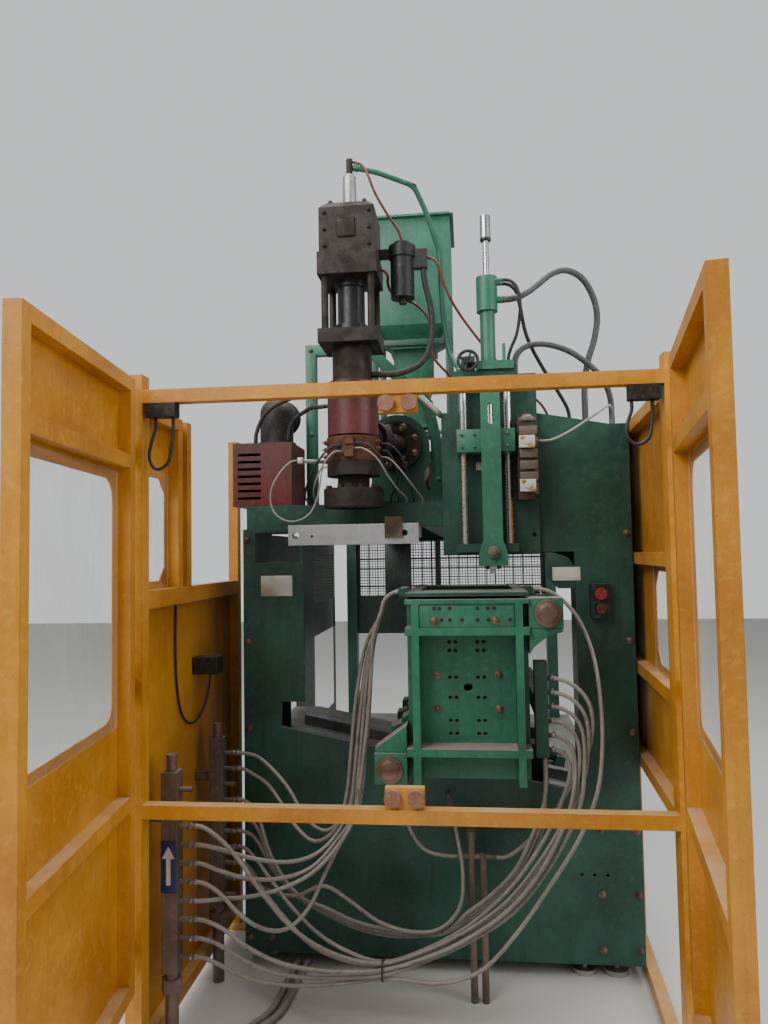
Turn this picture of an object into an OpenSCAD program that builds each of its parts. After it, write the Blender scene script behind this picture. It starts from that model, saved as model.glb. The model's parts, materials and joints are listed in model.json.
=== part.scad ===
// Shuttle blow moulding machine behind its safety guard.
// X runs to the right, Y away from the operator and Z up, all in millimetres.
// Places in Y are counted from the front plane of the guard before the shift in place().

/* [Safety guard] */
// Clear width between the two front posts
guard_clear_w = 1500; // [1470:5:1540]
// Side of the square front posts
post_w = 50; // [44:1:60]
// Height of the front posts
post_h = 2045; // [2010:5:2100]
// Side of the square tubes of rails and doors
tube_w = 40; // [32:1:44]
// Underside of the top rail above the floor
top_rail_z = 1958; // [1930:2:1968]
// Underside of the lower rail above the floor
low_rail_z = 747; // [700:1:760]
// Distance from a door's hinge axis to its free edge
door_w = 735; // [700:5:745]
// Height of a door
door_h = 1740; // [1700:5:1745]
// Underside of a door above the floor
door_z = 280; // [240:5:290]
// Top of the door sill above the floor
door_sill_z = 835; // [800:5:900]
// Top of the upper middle rail of a door above the floor
door_mid_z = 1795; // [1780:5:1840]
// Angle at which the left door stands open
left_open = 83; // [60:1:90]
// Angle at which the right door stands open
right_open = 81; // [60:1:90]
// Thickness of the guard sheets
sheet_t = 3; // [2:0.5:4]
// Thickness of the clear panes
pane_t = 5; // [4:0.5:6]
// Radius of the hinge knuckles
knuckle_r = 11; // [10:0.5:12]
// Radius of the hinge pins
hinge_pin_r = 6; // [5:0.5:7]
// Length of the left side wing from the front plane
left_wing_len = 1000; // [940:10:1040]
// Length of the right side wing from the front plane
right_wing_len = 960; // [920:10:980]
// Angle at which the right wing flares outward
right_wing_flare = 3; // [0:0.5:3.2]
// Top of the sill of the left wing above the floor
wing_sill_z = 1400; // [1350:5:1450]
// Radius of the rubber door buffers
buffer_r = 24; // [20:1:26]

/* [Machine frame] */
// Width of the machine front plate
front_w = 1422; // [1410:2:1424]
// X of the middle of the front plate
front_x = 71; // [68:1:71]
// Distance of the front plate behind the guard
front_y = 650; // [645:1:700]
// Thickness of the front plate
front_t = 20; // [16:1:25]
// Depth of the machine base behind its front face
base_depth = 2050; // [2000:10:2100]
// Height of the levelling feet
foot_h = 60; // [50:1:70]
// Top of the rear part of the base above the floor
rear_base_z = 500; // [450:10:520]
// Depth of the sloping bed
bed_depth = 830; // [800:10:850]
// Slope of the bed in degrees
bed_slope = 11.5; // [11:0.1:12]
// Height of the bed above the floor at X 0
bed_z = 671; // [660:1:675]
// Width of the face of the left column
column_w = 230; // [220:1:235]
// Underside of the extruder deck above the floor
deck_z = 1600; // [1596:1:1604]
// Height of the deck beams
deck_h = 90; // [80:1:96]
// Thickness of the deck plate
deck_t = 15; // [12:1:20]
// Width of the throat of the front plate
throat_w = 990; // [980:1:1000]
// Inner edge of the tower plate above the throat
tower_x = 405; // [395:1:410]
// Height of the tower at its inner edge
tower_z = 2007; // [1980:1:2040]
// Drop of the tower's top edge towards its outer side
tower_drop = 52; // [40:1:60]
// Depth of the tower behind the front plate
tower_d = 280; // [240:5:300]

/* [Clamp] */
// X of the middle of the moulds at rest
clamp_x = 192; // [188:1:194]
// Height of the middle of the moulds at rest
clamp_z = 1067; // [1064:1:1070]
// Distance of the mould closing plane behind the guard
close_y = 580; // [575:1:585]
// Width of a platen
platen_w = 387; // [380:1:387]
// Height of a platen
platen_h = 574; // [566:1:576]
// Thickness of the plate of the front platen
front_platen_t = 120; // [100:1:125]
// Depth of the ribs on the front platen
platen_rib_d = 90; // [70:1:95]
// Thickness of the rear platen
rear_platen_t = 100; // [80:1:105]
// Distance of a tie bar from the clamp middle, sideways
tie_dx = 249; // [247:1:250]
// Distance of a tie bar from the clamp middle, in height
tie_dz = 241; // [238:1:242]
// Radius of the tie bars
tie_r = 27; // [24:0.5:28]
// Width of a mould
mould_w = 300; // [280:5:320]
// Height of a mould
mould_h = 450; // [420:5:460]
// Thickness of one mould half
mould_t = 120; // [110:1:122]
// Opening stroke of each platen
clamp_stroke = 140; // [120:5:140]
// Thickness of the guide plate of the carriage
guide_t = 80; // [60:5:85]
// Thickness of the end plate on the tie bars
end_plate_t = 100; // [80:5:110]
// Radius of the clamp cylinder
clamp_cyl_r = 78; // [70:1:82]
// Radius of the clamp piston rod
clamp_rod_r = 30; // [26:1:34]
// Height of the carriage rails
rail_h = 40; // [36:1:44]
// Width of the carriage rails
rail_w = 50; // [40:1:60]

/* [Head and extruder] */
// X of the head axis
head_x = -205; // [-207:1:-203]
// Underside of the die flange above the floor
die_z = 1668; // [1660:1:1676]
// Radius of the die flange
die_r = 109; // [104:1:112]
// Radius of the head body
head_r = 92; // [88:1:94]
// Width of the square upper plates of the head
head_plate_w = 214; // [208:1:216]
// Width of the actuator block
actuator_w = 200; // [190:1:206]
// Height of the actuator block
actuator_h = 189; // [180:1:200]
// Length of the four head pillars
pillar_h = 195; // [180:1:205]
// Radius of the head pillars
pillar_r = 13; // [11:0.5:15]
// Radius of the programming rod
rod_r = 24; // [20:0.5:25]
// Free length of the rod above the actuator
rod_free_h = 120; // [110:1:140]
// X of the extruder axis
screw_x = -75; // [-80:1:-70]
// Height of the extruder axis above the floor
screw_z = 1930; // [1925:1:1935]
// Distance of the extruder's front flange behind the guard
barrel_y = 860; // [850:1:870]
// Length of the extruder barrel
barrel_len = 1340; // [1300:10:1360]
// Radius of the barrel
barrel_r = 55; // [50:1:58]
// Radius of the barrel's bore
barrel_bore_r = 30; // [28:0.5:32]
// Distance of the feed throat behind the guard
feed_y = 2050; // [2040:1:2060]
// Width and depth of the hopper box
hopper_w = 430; // [400:5:440]
// Height of the hopper box
hopper_box_h = 470; // [440:5:500]
// Top of the hopper above the floor
hopper_top_z = 3310; // [3280:5:3340]
// Wall of the hopper
hopper_wall = 4; // [3:0.5:5]

/* [Blow station] */
// X of the blow pin axis
blow_x = 288; // [284:1:290]
// Radius of the blow pin rod
blow_rod_r = 11; // [10:0.5:12]
// Stroke of the blow pin
blow_stroke = 130; // [110:5:135]
// Top of the blow station's upper block above the floor
blow_top_z = 2145; // [2135:1:2150]
// Radius of the handwheel
wheel_r = 40; // [36:1:44]

/* [Water supply] */
// Side of the square water manifolds
manifold_w = 50; // [44:1:54]
// Number of nipples on each manifold
nipple_n = 10; // [8:1:10]
// Distance between neighbouring nipples
nipple_pitch = 55; // [50:1:56]
// Radius of a nipple
nipple_r = 8; // [7:0.5:9]
// Radius of the water hoses
hose_r = 6.5; // [5:0.5:7]

/* [Hidden] */
$fn = 48;
fit = 0.05;
gap = 0.3;

// Guard
post_x = guard_clear_w / 2 + post_w / 2;
foot_plate_w = 150;
foot_plate_t = 8;
anchor_r = 6;
hinge_x = post_x;
hinge_y = -28;
hinge_zs = [door_z + 130, door_z + door_h / 2, door_z + door_h - 190];
knuckle_h = 45;
leaf_x = knuckle_r + 2;
door_top_z = door_z + door_h;
buffer_xs = [-23, 43];
bracket_y = 8;

// Machine frame
x_left = front_x - front_w / 2;
x_right = front_x + front_w / 2;
inner_y = front_y + front_t;
base_back_y = front_y + base_depth;
bed_back_y = inner_y + bed_depth;
slope = tan(bed_slope);
column_x = x_left + column_w;
throat_x = column_x + throat_w;
box_x = x_left + 120;
tower_box_x = throat_x + 20;
deck_beam_w = 90;
deck_y = front_y + 50;
deck_top = deck_z + deck_h;
deck_left = -330;
deck_right = 110;
rear_col_x = x_left + 80;
rear_col_w = 60;
rear_col_r = x_right - 120;
tower_step_z = 1500;

// Clamp, counted from the guard front plane
platen_face_y = close_y - mould_t - front_platen_t;
rim_y = platen_face_y - platen_rib_d;
rear_platen_y = close_y + mould_t;
guide_y = rear_platen_y + rear_platen_t + clamp_stroke + 20;
end_plate_y = guide_y + guide_t + clamp_stroke + 10;
clamp_cyl_y = end_plate_y + end_plate_t;
clamp_cyl_len = 2 * clamp_stroke + 90;
ear_w = 97;
ear_h = 110;
platen_left = clamp_x - platen_w / 2;
platen_top = clamp_z + platen_h / 2;
sled_top = clamp_z - tie_dz - tie_r - 35;
sled_x0 = clamp_x - tie_dx - 52;
sled_x1 = clamp_x + tie_dx + 45;

// Head
die_flange_h = 67;
neck_h = 46;
head_z = die_z + die_flange_h + neck_h;
head_body_h = 350;
lower_plate_z = head_z + head_body_h + 120;
lower_plate_h = 50;
upper_plate_z = lower_plate_z + lower_plate_h + pillar_h;
upper_plate_h = 82;
actuator_z = upper_plate_z + upper_plate_h;
actuator_top = actuator_z + actuator_h;
rod_top = actuator_top + rod_free_h;
adapter_a = atan2(screw_x - head_x, barrel_y - close_y);
gearbox_y = barrel_y + barrel_len;
gearbox_len = 280;
motor_y = gearbox_y + gearbox_len;
motor_len = 380;

// Blow station
blow_y = close_y;
back_t = 25;
guide_xs = [blow_x - 95, blow_x + 62];
guide_r = 14;

// The middle of the whole machine in Y becomes Y 0
function door_reach(a) = door_w * sin(a) + tube_w / 2 * cos(a);
front_edge_y = hinge_y - max(door_reach(left_open), door_reach(right_open));
back_edge_y = motor_y + motor_len;
y_shift = -(front_edge_y + back_edge_y) / 2;

module place() {
    translate([0, y_shift, 0]) children();
}

module box(x0, x1, y0, y1, z0, z1) {
    translate([x0, y0, z0]) cube([x1 - x0, y1 - y0, z1 - z0]);
}

// A solid of a front view outline, from y0 to y1
module profile_y(y0, y1) {
    translate([0, y1, 0]) rotate([90, 0, 0]) linear_extrude(y1 - y0) children();
}

// A solid of a side view outline drawn as (y, z), from x0 to x1
module profile_x(x0, x1) {
    translate([x0, 0, 0]) rotate([90, 0, 90]) linear_extrude(x1 - x0) children();
}

module rod_y(x, z, y0, y1, r) {
    translate([x, y0, z]) rotate([-90, 0, 0]) cylinder(r = r, h = y1 - y0);
}

module rod_x(y, z, x0, x1, r) {
    translate([x0, y, z]) rotate([0, 90, 0]) cylinder(r = r, h = x1 - x0);
}

module rod_z(x, y, z0, z1, r) {
    translate([x, y, z0]) cylinder(r = r, h = z1 - z0);
}

module hex_y(x, z, y0, y1, r) {
    translate([x, y0, z]) rotate([-90, 0, 0]) cylinder(r = r, h = y1 - y0, $fn = 6);
}

module hex_z(x, y, z0, z1, r) {
    translate([x, y, z0]) cylinder(r = r, h = z1 - z0, $fn = 6);
}

module rounded(w, h, r) {
    translate([r, 0]) square([w - 2 * r, h]);
    translate([0, r]) square([w, h - 2 * r]);
    for (x = [r, w - r], y = [r, h - r]) translate([x, y]) circle(r);
}

module chamfered(w, h, c) {
    polygon([[c, 0], [w - c, 0], [w, c], [w, h - c], [w - c, h], [c, h], [0, h - c], [0, c]]);
}

// Height of the bed's surface at x
function bed_at(x) = bed_z - slope * x;

// Machine frame

module base_frame() {
    color([0.16, 0.42, 0.32]) place() {
        profile_y(inner_y, bed_back_y) polygon([
            [x_left, foot_h], [x_right, foot_h],
            [x_right, bed_at(tower_box_x)], [tower_box_x, bed_at(tower_box_x)],
            [box_x, bed_at(box_x)], [x_left, bed_at(box_x)]
        ]);
        difference() {
            box(x_left, x_right, bed_back_y, base_back_y, foot_h, rear_base_z);
            for (i = [0:3]) box(x_left - 1, x_left + 12, bed_back_y + 260 + i * 200,
                bed_back_y + 400 + i * 200, foot_h + 160, foot_h + 320);
        }
    }
}

module levelling_feet() {
    color([0.75, 0.75, 0.72]) place()
        for (x = [x_left + 90, front_x + front_w / 4 + 154, x_right - 90],
            y = [inner_y + 60, bed_back_y - 60, base_back_y - 80]) {
            rod_z(x, y, 0, 18, 45);
            rod_z(x, y, 18, foot_h, 12);
            hex_z(x, y, 30, 46, 20);
        }
}

module front_outline() {
    difference() {
        polygon([
            [x_left, foot_h], [x_right, foot_h], [x_right, tower_z - tower_drop],
            [x_right - 70, tower_z - tower_drop],
            [tower_x + 120, tower_z - tower_drop * 0.3], [tower_x + 40, tower_z - 2],
            [tower_x, tower_z], [tower_x, tower_step_z],
            [throat_x - 70, tower_step_z - 6], [throat_x - 25, tower_step_z - 22],
            [throat_x, tower_step_z - 55],
            [throat_x, bed_at(throat_x) + 96], [column_x - 90, bed_at(column_x - 90) + 96],
            [column_x - 90, 960], [column_x, 960], [column_x, deck_z], [x_left, deck_z]
        ]);
        translate([x_left + 46, 1474]) square([column_w - 59, 112]);
        for (x = [0, 44, 88]) translate([throat_x - 8 + x, 365]) circle(6);
        for (z = [352, 404]) translate([throat_x - 150, z]) circle(6);
    }
}

plate_ports = [[-45, 640], [110, 640]];

module front_plate() {
    color([0.17, 0.43, 0.33]) place() {
        profile_y(front_y, inner_y) front_outline();
        for (p = plate_ports) rod_y(p[0], p[1], front_y - 25, front_y + 1, nipple_r);
    }
}

module left_column() {
    color([0.16, 0.41, 0.31]) place() difference() {
        box(x_left, box_x, inner_y, inner_y + 230, bed_at(box_x), deck_z);
        box(x_left + 46, box_x + 1, inner_y - 1, inner_y + 231, 1474, 1586);
        box(x_left + 12, box_x + 1, inner_y + 12, inner_y + 218, bed_at(box_x) + 30, 1440);
    }
}

module tower_outline(w) {
    polygon([
        [tower_box_x + w, bed_at(tower_box_x) + w], [x_right - w, bed_at(tower_box_x) + w],
        [x_right - w, tower_z - tower_drop - 15 - w], [x_right - 70, tower_z - tower_drop - 15 - w],
        [tower_x + 25 + w, tower_z - 25 - w], [tower_x + 25 + w, tower_step_z + 20 + w],
        [tower_box_x + w, tower_step_z - 30 + w]
    ]);
}

// Hose ends on top of the tower: place, height and radius
tower_ports = [
    [452, 800, 1992, 7], [520, 800, 1988, 7], [595, 800, 1985, 8], [655, 800, 1980, 13],
    [742, 760, 1965, 7], [762, 850, 1965, 13]
];

module tower_frame() {
    color([0.16, 0.41, 0.31]) place() {
        difference() {
            profile_y(inner_y, inner_y + tower_d) tower_outline(0);
            profile_y(inner_y + 20, inner_y + tower_d + 1) tower_outline(20);
        }
        for (z = [860, 1180, 1480])
            box(tower_box_x + 20, x_right - 20, inner_y + 20, inner_y + tower_d - 20, z, z + 15);
        for (t = tower_ports) rod_z(t[0], t[1], 1925, t[2], t[3]);
    }
}

// The cast saddle that holds the barrel behind its flange
module barrel_saddle() {
    saddle_y = barrel_y + 40 + gap;
    difference() {
        profile_y(saddle_y, saddle_y + 32) difference() {
            union() {
                translate([screw_x - 130, deck_top + 5]) square([260, screw_z - deck_top - 5]);
                translate([screw_x, screw_z]) circle(130);
            }
            for (s = [-1, 1]) translate([screw_x + s * 190, deck_top + 110]) circle(85);
        }
        rod_y(screw_x, screw_z, saddle_y - 1, saddle_y + 33, barrel_r + gap);
    }
}

module extruder_deck() {
    link_y = inner_y + tower_d;
    color([0.15, 0.40, 0.31]) place() {
        box(x_left, deck_right, deck_y, deck_y + deck_beam_w, deck_z, deck_top);
        box(deck_right - 1, x_right, link_y, link_y + 80, deck_z, deck_top);
        box(x_left, x_right, base_back_y - 100, base_back_y - 20, deck_z, deck_top);
        for (x = [deck_left, deck_right - 80])
            box(x, x + 80, deck_y, base_back_y - 20, deck_z, deck_top);
        box(deck_left, deck_right, deck_y + deck_beam_w + 10, base_back_y - 20, deck_top - 1, deck_top + deck_t);
        for (x = [rear_col_x, rear_col_r])
            box(x, x + rear_col_w, base_back_y - 100, base_back_y - 20, rear_base_z, deck_z + 1);
        box(rear_col_r, rear_col_r + rear_col_w, link_y, link_y + 80, bed_at(tower_box_x), deck_z + 1);
        barrel_saddle();
    }
}

mesh_nx = 20;
mesh_nz = 6;
mesh_x0 = rear_col_x + rear_col_w;
mesh_pitch_x = (rear_col_r - mesh_x0 - 40) / mesh_nx;
mesh_pitch_z = (deck_z - 1220 - 40) / mesh_nz;

module rear_guard() {
    color([0.14, 0.22, 0.18]) place()
        profile_y(base_back_y - 60, base_back_y - 56) difference() {
            translate([mesh_x0, 1005]) square([rear_col_r - mesh_x0, deck_z - 1005]);
            for (i = [0:mesh_nx - 1], k = [0:mesh_nz - 1])
                translate([mesh_x0 + 22 + i * mesh_pitch_x, 1242 + k * mesh_pitch_z])
                    square([mesh_pitch_x - 6, mesh_pitch_z - 6]);
        }
}

// A rail bar along the slope; its top face is rail_h above the bed
rail_ys = [guide_y - 80, guide_y + 160];
rail_x0 = sled_x0 - 405;
rail_x1 = sled_x1 + 105;

module bed_rails() {
    color([0.55, 0.56, 0.55]) place() for (y = rail_ys)
        profile_y(y, y + rail_w) polygon([
            [rail_x0, bed_at(rail_x0)], [rail_x1, bed_at(rail_x1)],
            [rail_x1, bed_at(rail_x1) + rail_h], [rail_x0, bed_at(rail_x0) + rail_h]
        ]);
}

switch_x = 660;
switch_z = 1322;

module switch_box() {
    color([0.08, 0.09, 0.09]) place() difference() {
        box(switch_x - 33, switch_x + 33, front_y - 38, front_y, switch_z - 60, switch_z + 60);
        rod_y(switch_x, switch_z + 26, front_y - 39, front_y - 14, 15 + fit);
        rod_y(switch_x, switch_z - 26, front_y - 39, front_y - 14, 15 + fit);
    }
}

module push_button(z, head_r) {
    rod_y(switch_x, z, front_y - 46, front_y - 22, 15);
    rod_y(switch_x, z, front_y - 54, front_y - 46, head_r);
}

module stop_button() {
    color([0.45, 0.08, 0.08]) place() push_button(switch_z + 26, 21);
}

module start_button() {
    color([0.25, 0.06, 0.07]) place() push_button(switch_z - 26, 18);
}

// Extruder

module extruder_barrel() {
    color([0.35, 0.36, 0.35]) place() difference() {
        union() {
            rod_y(screw_x, screw_z, barrel_y, barrel_y + 40, 100);
            rod_y(screw_x, screw_z, barrel_y + 39, gearbox_y - 20, barrel_r);
            box(screw_x - 75, screw_x + 75, feed_y - 90, gearbox_y - 20, screw_z - 75, screw_z + 75);
        }
        rod_y(screw_x, screw_z, barrel_y - 1, gearbox_y, barrel_bore_r);
        rod_z(screw_x, feed_y, screw_z, screw_z + 76, 28);
        for (a = [30:60:330])
            rod_y(screw_x + 82 * cos(a), screw_z + 82 * sin(a), barrel_y - 1, barrel_y + 12, 7);
    }
}

heater_n = 5;
heater_pitch = (feed_y - 130 - barrel_y - 85) / heater_n;

module barrel_heaters() {
    color([0.45, 0.40, 0.34]) place() for (i = [0:heater_n - 1]) {
        y = barrel_y + 85 + i * heater_pitch;
        difference() {
            union() {
                rod_y(screw_x, screw_z, y, y + heater_pitch - 40, barrel_r + 22);
                box(screw_x - 18, screw_x + 18, y + 40, y + 90, screw_z + barrel_r, screw_z + barrel_r + 60);
            }
            rod_y(screw_x, screw_z, y - 1, y + heater_pitch, barrel_r + gap);
        }
    }
}

screw_pitch = 60;
screw_core_r = 20;

module extruder_screw() {
    screw_len = barrel_len - 20;
    color([0.6, 0.6, 0.58]) place() {
        rod_y(screw_x, screw_z, barrel_y + 30, gearbox_y + 60, screw_core_r);
        translate([screw_x, barrel_y + 12, screw_z]) rotate([-90, 0, 0]) {
            cylinder(r1 = 2, r2 = screw_core_r, h = 18);
            for (i = [0:floor(screw_len / screw_pitch) - 2])
                translate([0, 0, 40 + i * screw_pitch])
                    cylinder(r1 = barrel_bore_r - fit, r2 = screw_core_r, h = 14);
        }
    }
}

module gearbox() {
    color([0.17, 0.42, 0.33]) place() difference() {
        union() {
            box(screw_x - 150, screw_x + 150, gearbox_y, motor_y, deck_top + deck_t, screw_z + 150);
            box(screw_x - 175, screw_x + 175, gearbox_y + 30, motor_y - 30,
                deck_top + deck_t, deck_top + deck_t + 25);
            rod_y(screw_x, screw_z, gearbox_y - 20, gearbox_y, 80);
        }
        rod_y(screw_x, screw_z, gearbox_y - 21, gearbox_y + 80, screw_core_r + fit);
        for (x = [-150, 144], z = [0:3])
            box(screw_x + x - 1, screw_x + x + 7, gearbox_y + 40, motor_y - 40,
                screw_z - 120 + z * 60, screw_z - 90 + z * 60);
    }
}

module extruder_motor() {
    color([0.20, 0.35, 0.42]) place() difference() {
        union() {
            rod_y(screw_x, screw_z, motor_y, motor_y + 20, 130);
            rod_y(screw_x, screw_z, motor_y + 20, motor_y + motor_len, 105);
            for (a = [0:15:345]) translate([screw_x, motor_y + 40, screw_z]) rotate([0, a, 0])
                translate([-2, 0, 100]) cube([4, motor_len - 120, 18]);
            box(screw_x - 60, screw_x + 60, motor_y + 80, motor_y + 200, screw_z + 80, screw_z + 165);
        }
        for (a = [0:30:330]) translate([screw_x, motor_y + motor_len - 12, screw_z]) rotate([0, a, 0])
            translate([-6, 0, 35]) cube([12, 20, 55]);
    }
}

chute_top = hopper_top_z - hopper_box_h - 310;
gate_z = screw_z + 75 + 160;

chute_r = 44;
gate_half_w = 60;
gate_half_d = 55;
gate_t = 8;
gate_stroke = 90;
gate_end_x = screw_x + 85 + gate_stroke + 5;

// The gate plate shuts when it slides towards -X, and its hole is over the chute at rest
module hopper_gate() {
    color([0.6, 0.6, 0.6]) place() {
        difference() {
            box(screw_x - gate_half_w, gate_end_x, feed_y - gate_half_d, feed_y + gate_half_d,
                gate_z - gate_t / 2, gate_z + gate_t / 2);
            rod_z(screw_x, feed_y, gate_z - gate_t, gate_z + gate_t, chute_r);
        }
        box(gate_end_x, gate_end_x + 12, feed_y - 40, feed_y + 40, gate_z - 16, gate_z + 16);
    }
}

module hopper_shell(w) {
    hopper_half = hopper_w / 2 - w;
    box_z = hopper_top_z - hopper_box_h;
    mid_half = 148 - w;
    hull() {
        translate([screw_x - hopper_half, feed_y - hopper_half, box_z]) cube([2 * hopper_half, 2 * hopper_half, 0.1]);
        translate([screw_x - mid_half, feed_y - mid_half, box_z - 140]) cube([2 * mid_half, 2 * mid_half, 0.1]);
    }
    hull() {
        translate([screw_x - mid_half, feed_y - mid_half, box_z - 140]) cube([2 * mid_half, 2 * mid_half, 0.1]);
        translate([screw_x - 58 + w, feed_y - 58 + w, chute_top + w]) cube([116 - 2 * w, 116 - 2 * w, 0.1]);
    }
    box(screw_x - hopper_half, screw_x + hopper_half, feed_y - hopper_half, feed_y + hopper_half,
        box_z, hopper_top_z + w / 100);
}

module hopper() {
    color([0.18, 0.50, 0.38]) place() difference() {
        union() {
            hopper_shell(0);
            rod_z(screw_x, feed_y, screw_z + 75, chute_top + 4, chute_r + 6);
            box(screw_x - 75, screw_x + 75, feed_y - 75, feed_y + 75, screw_z + 75, screw_z + 93);
            box(screw_x - 85, screw_x + 85, feed_y - 70, feed_y + 70, gate_z - 16, gate_z + 16);
            box(screw_x - hopper_w / 2 - 18, screw_x + hopper_w / 2 + 18, feed_y - hopper_w / 2 - 18,
                feed_y + hopper_w / 2 + 18, hopper_top_z - 25, hopper_top_z - 20);
        }
        hopper_shell(hopper_wall);
        rod_z(screw_x, feed_y, screw_z + 74, chute_top + 20, chute_r);
        box(screw_x - 86, screw_x + 86, feed_y - gate_half_d - gap, feed_y + gate_half_d + gap,
            gate_z - gate_t / 2 - gap, gate_z + gate_t / 2 + gap);
    }
}

module melt_adapter() {
    color([0.22, 0.20, 0.19]) place() difference() {
        translate([head_x, close_y, screw_z]) rotate([0, 0, -adapter_a]) {
            translate([0, 150, 0]) rotate([-90, 0, 0]) cylinder(r = 42, h = 260);
            translate([0, 150, 0]) rotate([-90, 0, 0]) cylinder(r = 70, h = 26);
        }
        box(screw_x - 200, screw_x + 200, barrel_y, barrel_y + 300, screw_z - 100, screw_z + 100);
    }
}

// Head

module ring_z(x, y, z0, z1, r, bore) {
    difference() {
        rod_z(x, y, z0, z1, r);
        rod_z(x, y, z0 - 1, z1 + 1, bore);
    }
}

cover_z = head_z + 145;

// The space that the neck towards the extruder takes out of the bands and the cover
module neck_space() {
    translate([head_x, close_y, screw_z]) rotate([0, 0, -adapter_a])
        translate([-78, 0, -78]) cube([156, 200, 156]);
}

module head_body() {
    color([0.30, 0.24, 0.22]) place() difference() {
        union() {
            rod_z(head_x, close_y, head_z, head_z + head_body_h, head_r - 18);
            rod_z(head_x, close_y, head_z, head_z + 52, head_r + 4);
            rod_z(head_x, close_y, head_z + head_body_h, lower_plate_z, 72);
            rod_x(close_y, lower_plate_z - 100, head_x + 60, head_x + 95, 12);
            translate([head_x, close_y, screw_z]) rotate([0, 0, -adapter_a]) {
                rotate([-90, 0, 0]) cylinder(r = 52, h = 124);
                translate([0, 124, 0]) rotate([-90, 0, 0]) cylinder(r = 70, h = 26);
            }
        }
        rod_z(head_x, close_y, head_z - 1, lower_plate_z + 1, rod_r + fit);
    }
}

module head_cover() {
    color([0.42, 0.07, 0.07]) place() difference() {
        union() {
            rod_z(head_x, close_y, cover_z, cover_z + 195, head_r);
            for (z = [120, 155]) rod_x(close_y + 18, cover_z + z, head_x - head_r - 10, head_x - head_r + 12, 7);
        }
        rod_z(head_x, close_y, cover_z - 1, cover_z + 192, head_r - 3);
        rod_z(head_x, close_y, cover_z + 190, cover_z + 196, 74 + gap);
        neck_space();
    }
}

module band_heaters() {
    color([0.30, 0.19, 0.13]) place() difference() {
        for (i = [0, 1]) {
            z = head_z + 52 + gap + i * 45;
            ring_z(head_x, close_y, z, z + 42, head_r + 4, head_r - 18 + gap);
            difference() {
                box(head_x - 16, head_x + 16, close_y - head_r - 22, close_y - head_r + 6, z + 8, z + 34);
                rod_z(head_x, close_y, z, z + 42, head_r);
            }
        }
        neck_space();
    }
}

module die_flange() {
    color([0.33, 0.32, 0.30]) place() difference() {
        union() {
            rod_z(head_x, close_y, die_z, die_z + die_flange_h, die_r);
            rod_z(head_x, close_y, die_z + die_flange_h, head_z, 58);
            for (a = [22.5:45:360])
                hex_z(head_x + 92 * cos(a), close_y + 92 * sin(a), die_z + die_flange_h, die_z + die_flange_h + 12, 11);
        }
        rod_z(head_x, close_y, die_z - 1, die_z + 80, 48);
        translate([head_x, close_y, die_z + 79]) cylinder(r1 = 48, r2 = rod_r + fit, h = 30);
        rod_z(head_x, close_y, die_z + 100, head_z + 1, rod_r + fit);
    }
}

pillar_off = head_plate_w / 2 - 24;

module head_yoke() {
    half = head_plate_w / 2;
    color([0.20, 0.17, 0.16]) place() difference() {
        union() {
            for (z = [[lower_plate_z, lower_plate_z + lower_plate_h], [upper_plate_z, actuator_z]])
                box(head_x - half, head_x + half, close_y - half, close_y + half, z[0], z[1]);
            for (x = [-pillar_off, pillar_off], y = [-pillar_off, pillar_off])
                rod_z(head_x + x, close_y + y, lower_plate_z + 10, upper_plate_z + 10, pillar_r);
        }
        rod_z(head_x, close_y, lower_plate_z - 1, actuator_z + 1, rod_r + fit);
    }
}

module programming_cylinder() {
    color([0.10, 0.10, 0.11]) place() {
        z = lower_plate_z + lower_plate_h;
        ring_z(head_x, close_y, z, z + 30, 62, rod_r + fit);
        ring_z(head_x, close_y, z + 30, upper_plate_z - 25, 50, rod_r + fit);
        ring_z(head_x, close_y, upper_plate_z - 25, upper_plate_z, 58, rod_r + fit);
    }
}

mandrel_stroke = 30;
stem_r = 12;
cap_stem_r = 12;

module actuator_block() {
    half = actuator_w / 2;
    outline = [
        [-half, actuator_z], [half, actuator_z], [half, actuator_top - 26], [half - 26, actuator_top],
        [26 - half, actuator_top], [-half, actuator_top - 26]
    ];
    color([0.17, 0.14, 0.13]) place() difference() {
        union() {
            translate([head_x, close_y, 0]) intersection() {
                profile_y(-half, half) polygon(outline);
                profile_x(-half, half) polygon(outline);
            }
            rod_z(head_x, close_y, actuator_top - 1, rod_top, rod_r);
            rod_z(head_x, close_y, rod_top, rod_top + 14, 18);
            rod_z(head_x, close_y, rod_top + 14, rod_top + 74, cap_stem_r);
        }
        rod_z(head_x, close_y, actuator_z - 1, actuator_top - 38, rod_r + fit);
        rod_z(head_x, close_y, actuator_top - 39, rod_top - 20, stem_r + fit);
    }
}

module mandrel_rod() {
    color([0.72, 0.72, 0.72]) place() {
        rod_z(head_x, close_y, die_z + 60, actuator_top - 40, rod_r);
        rod_z(head_x, close_y, actuator_top - 41, rod_top - 22, stem_r);
        rod_z(head_x, close_y, die_z + 2, die_z + 40, 42);
        translate([head_x, close_y, die_z + 40]) cylinder(r1 = 42, r2 = rod_r, h = 20);
    }
}

rail_y = 450;
rail_top = 1604;
cut_x0 = -419;
cut_x1 = 35;

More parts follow.
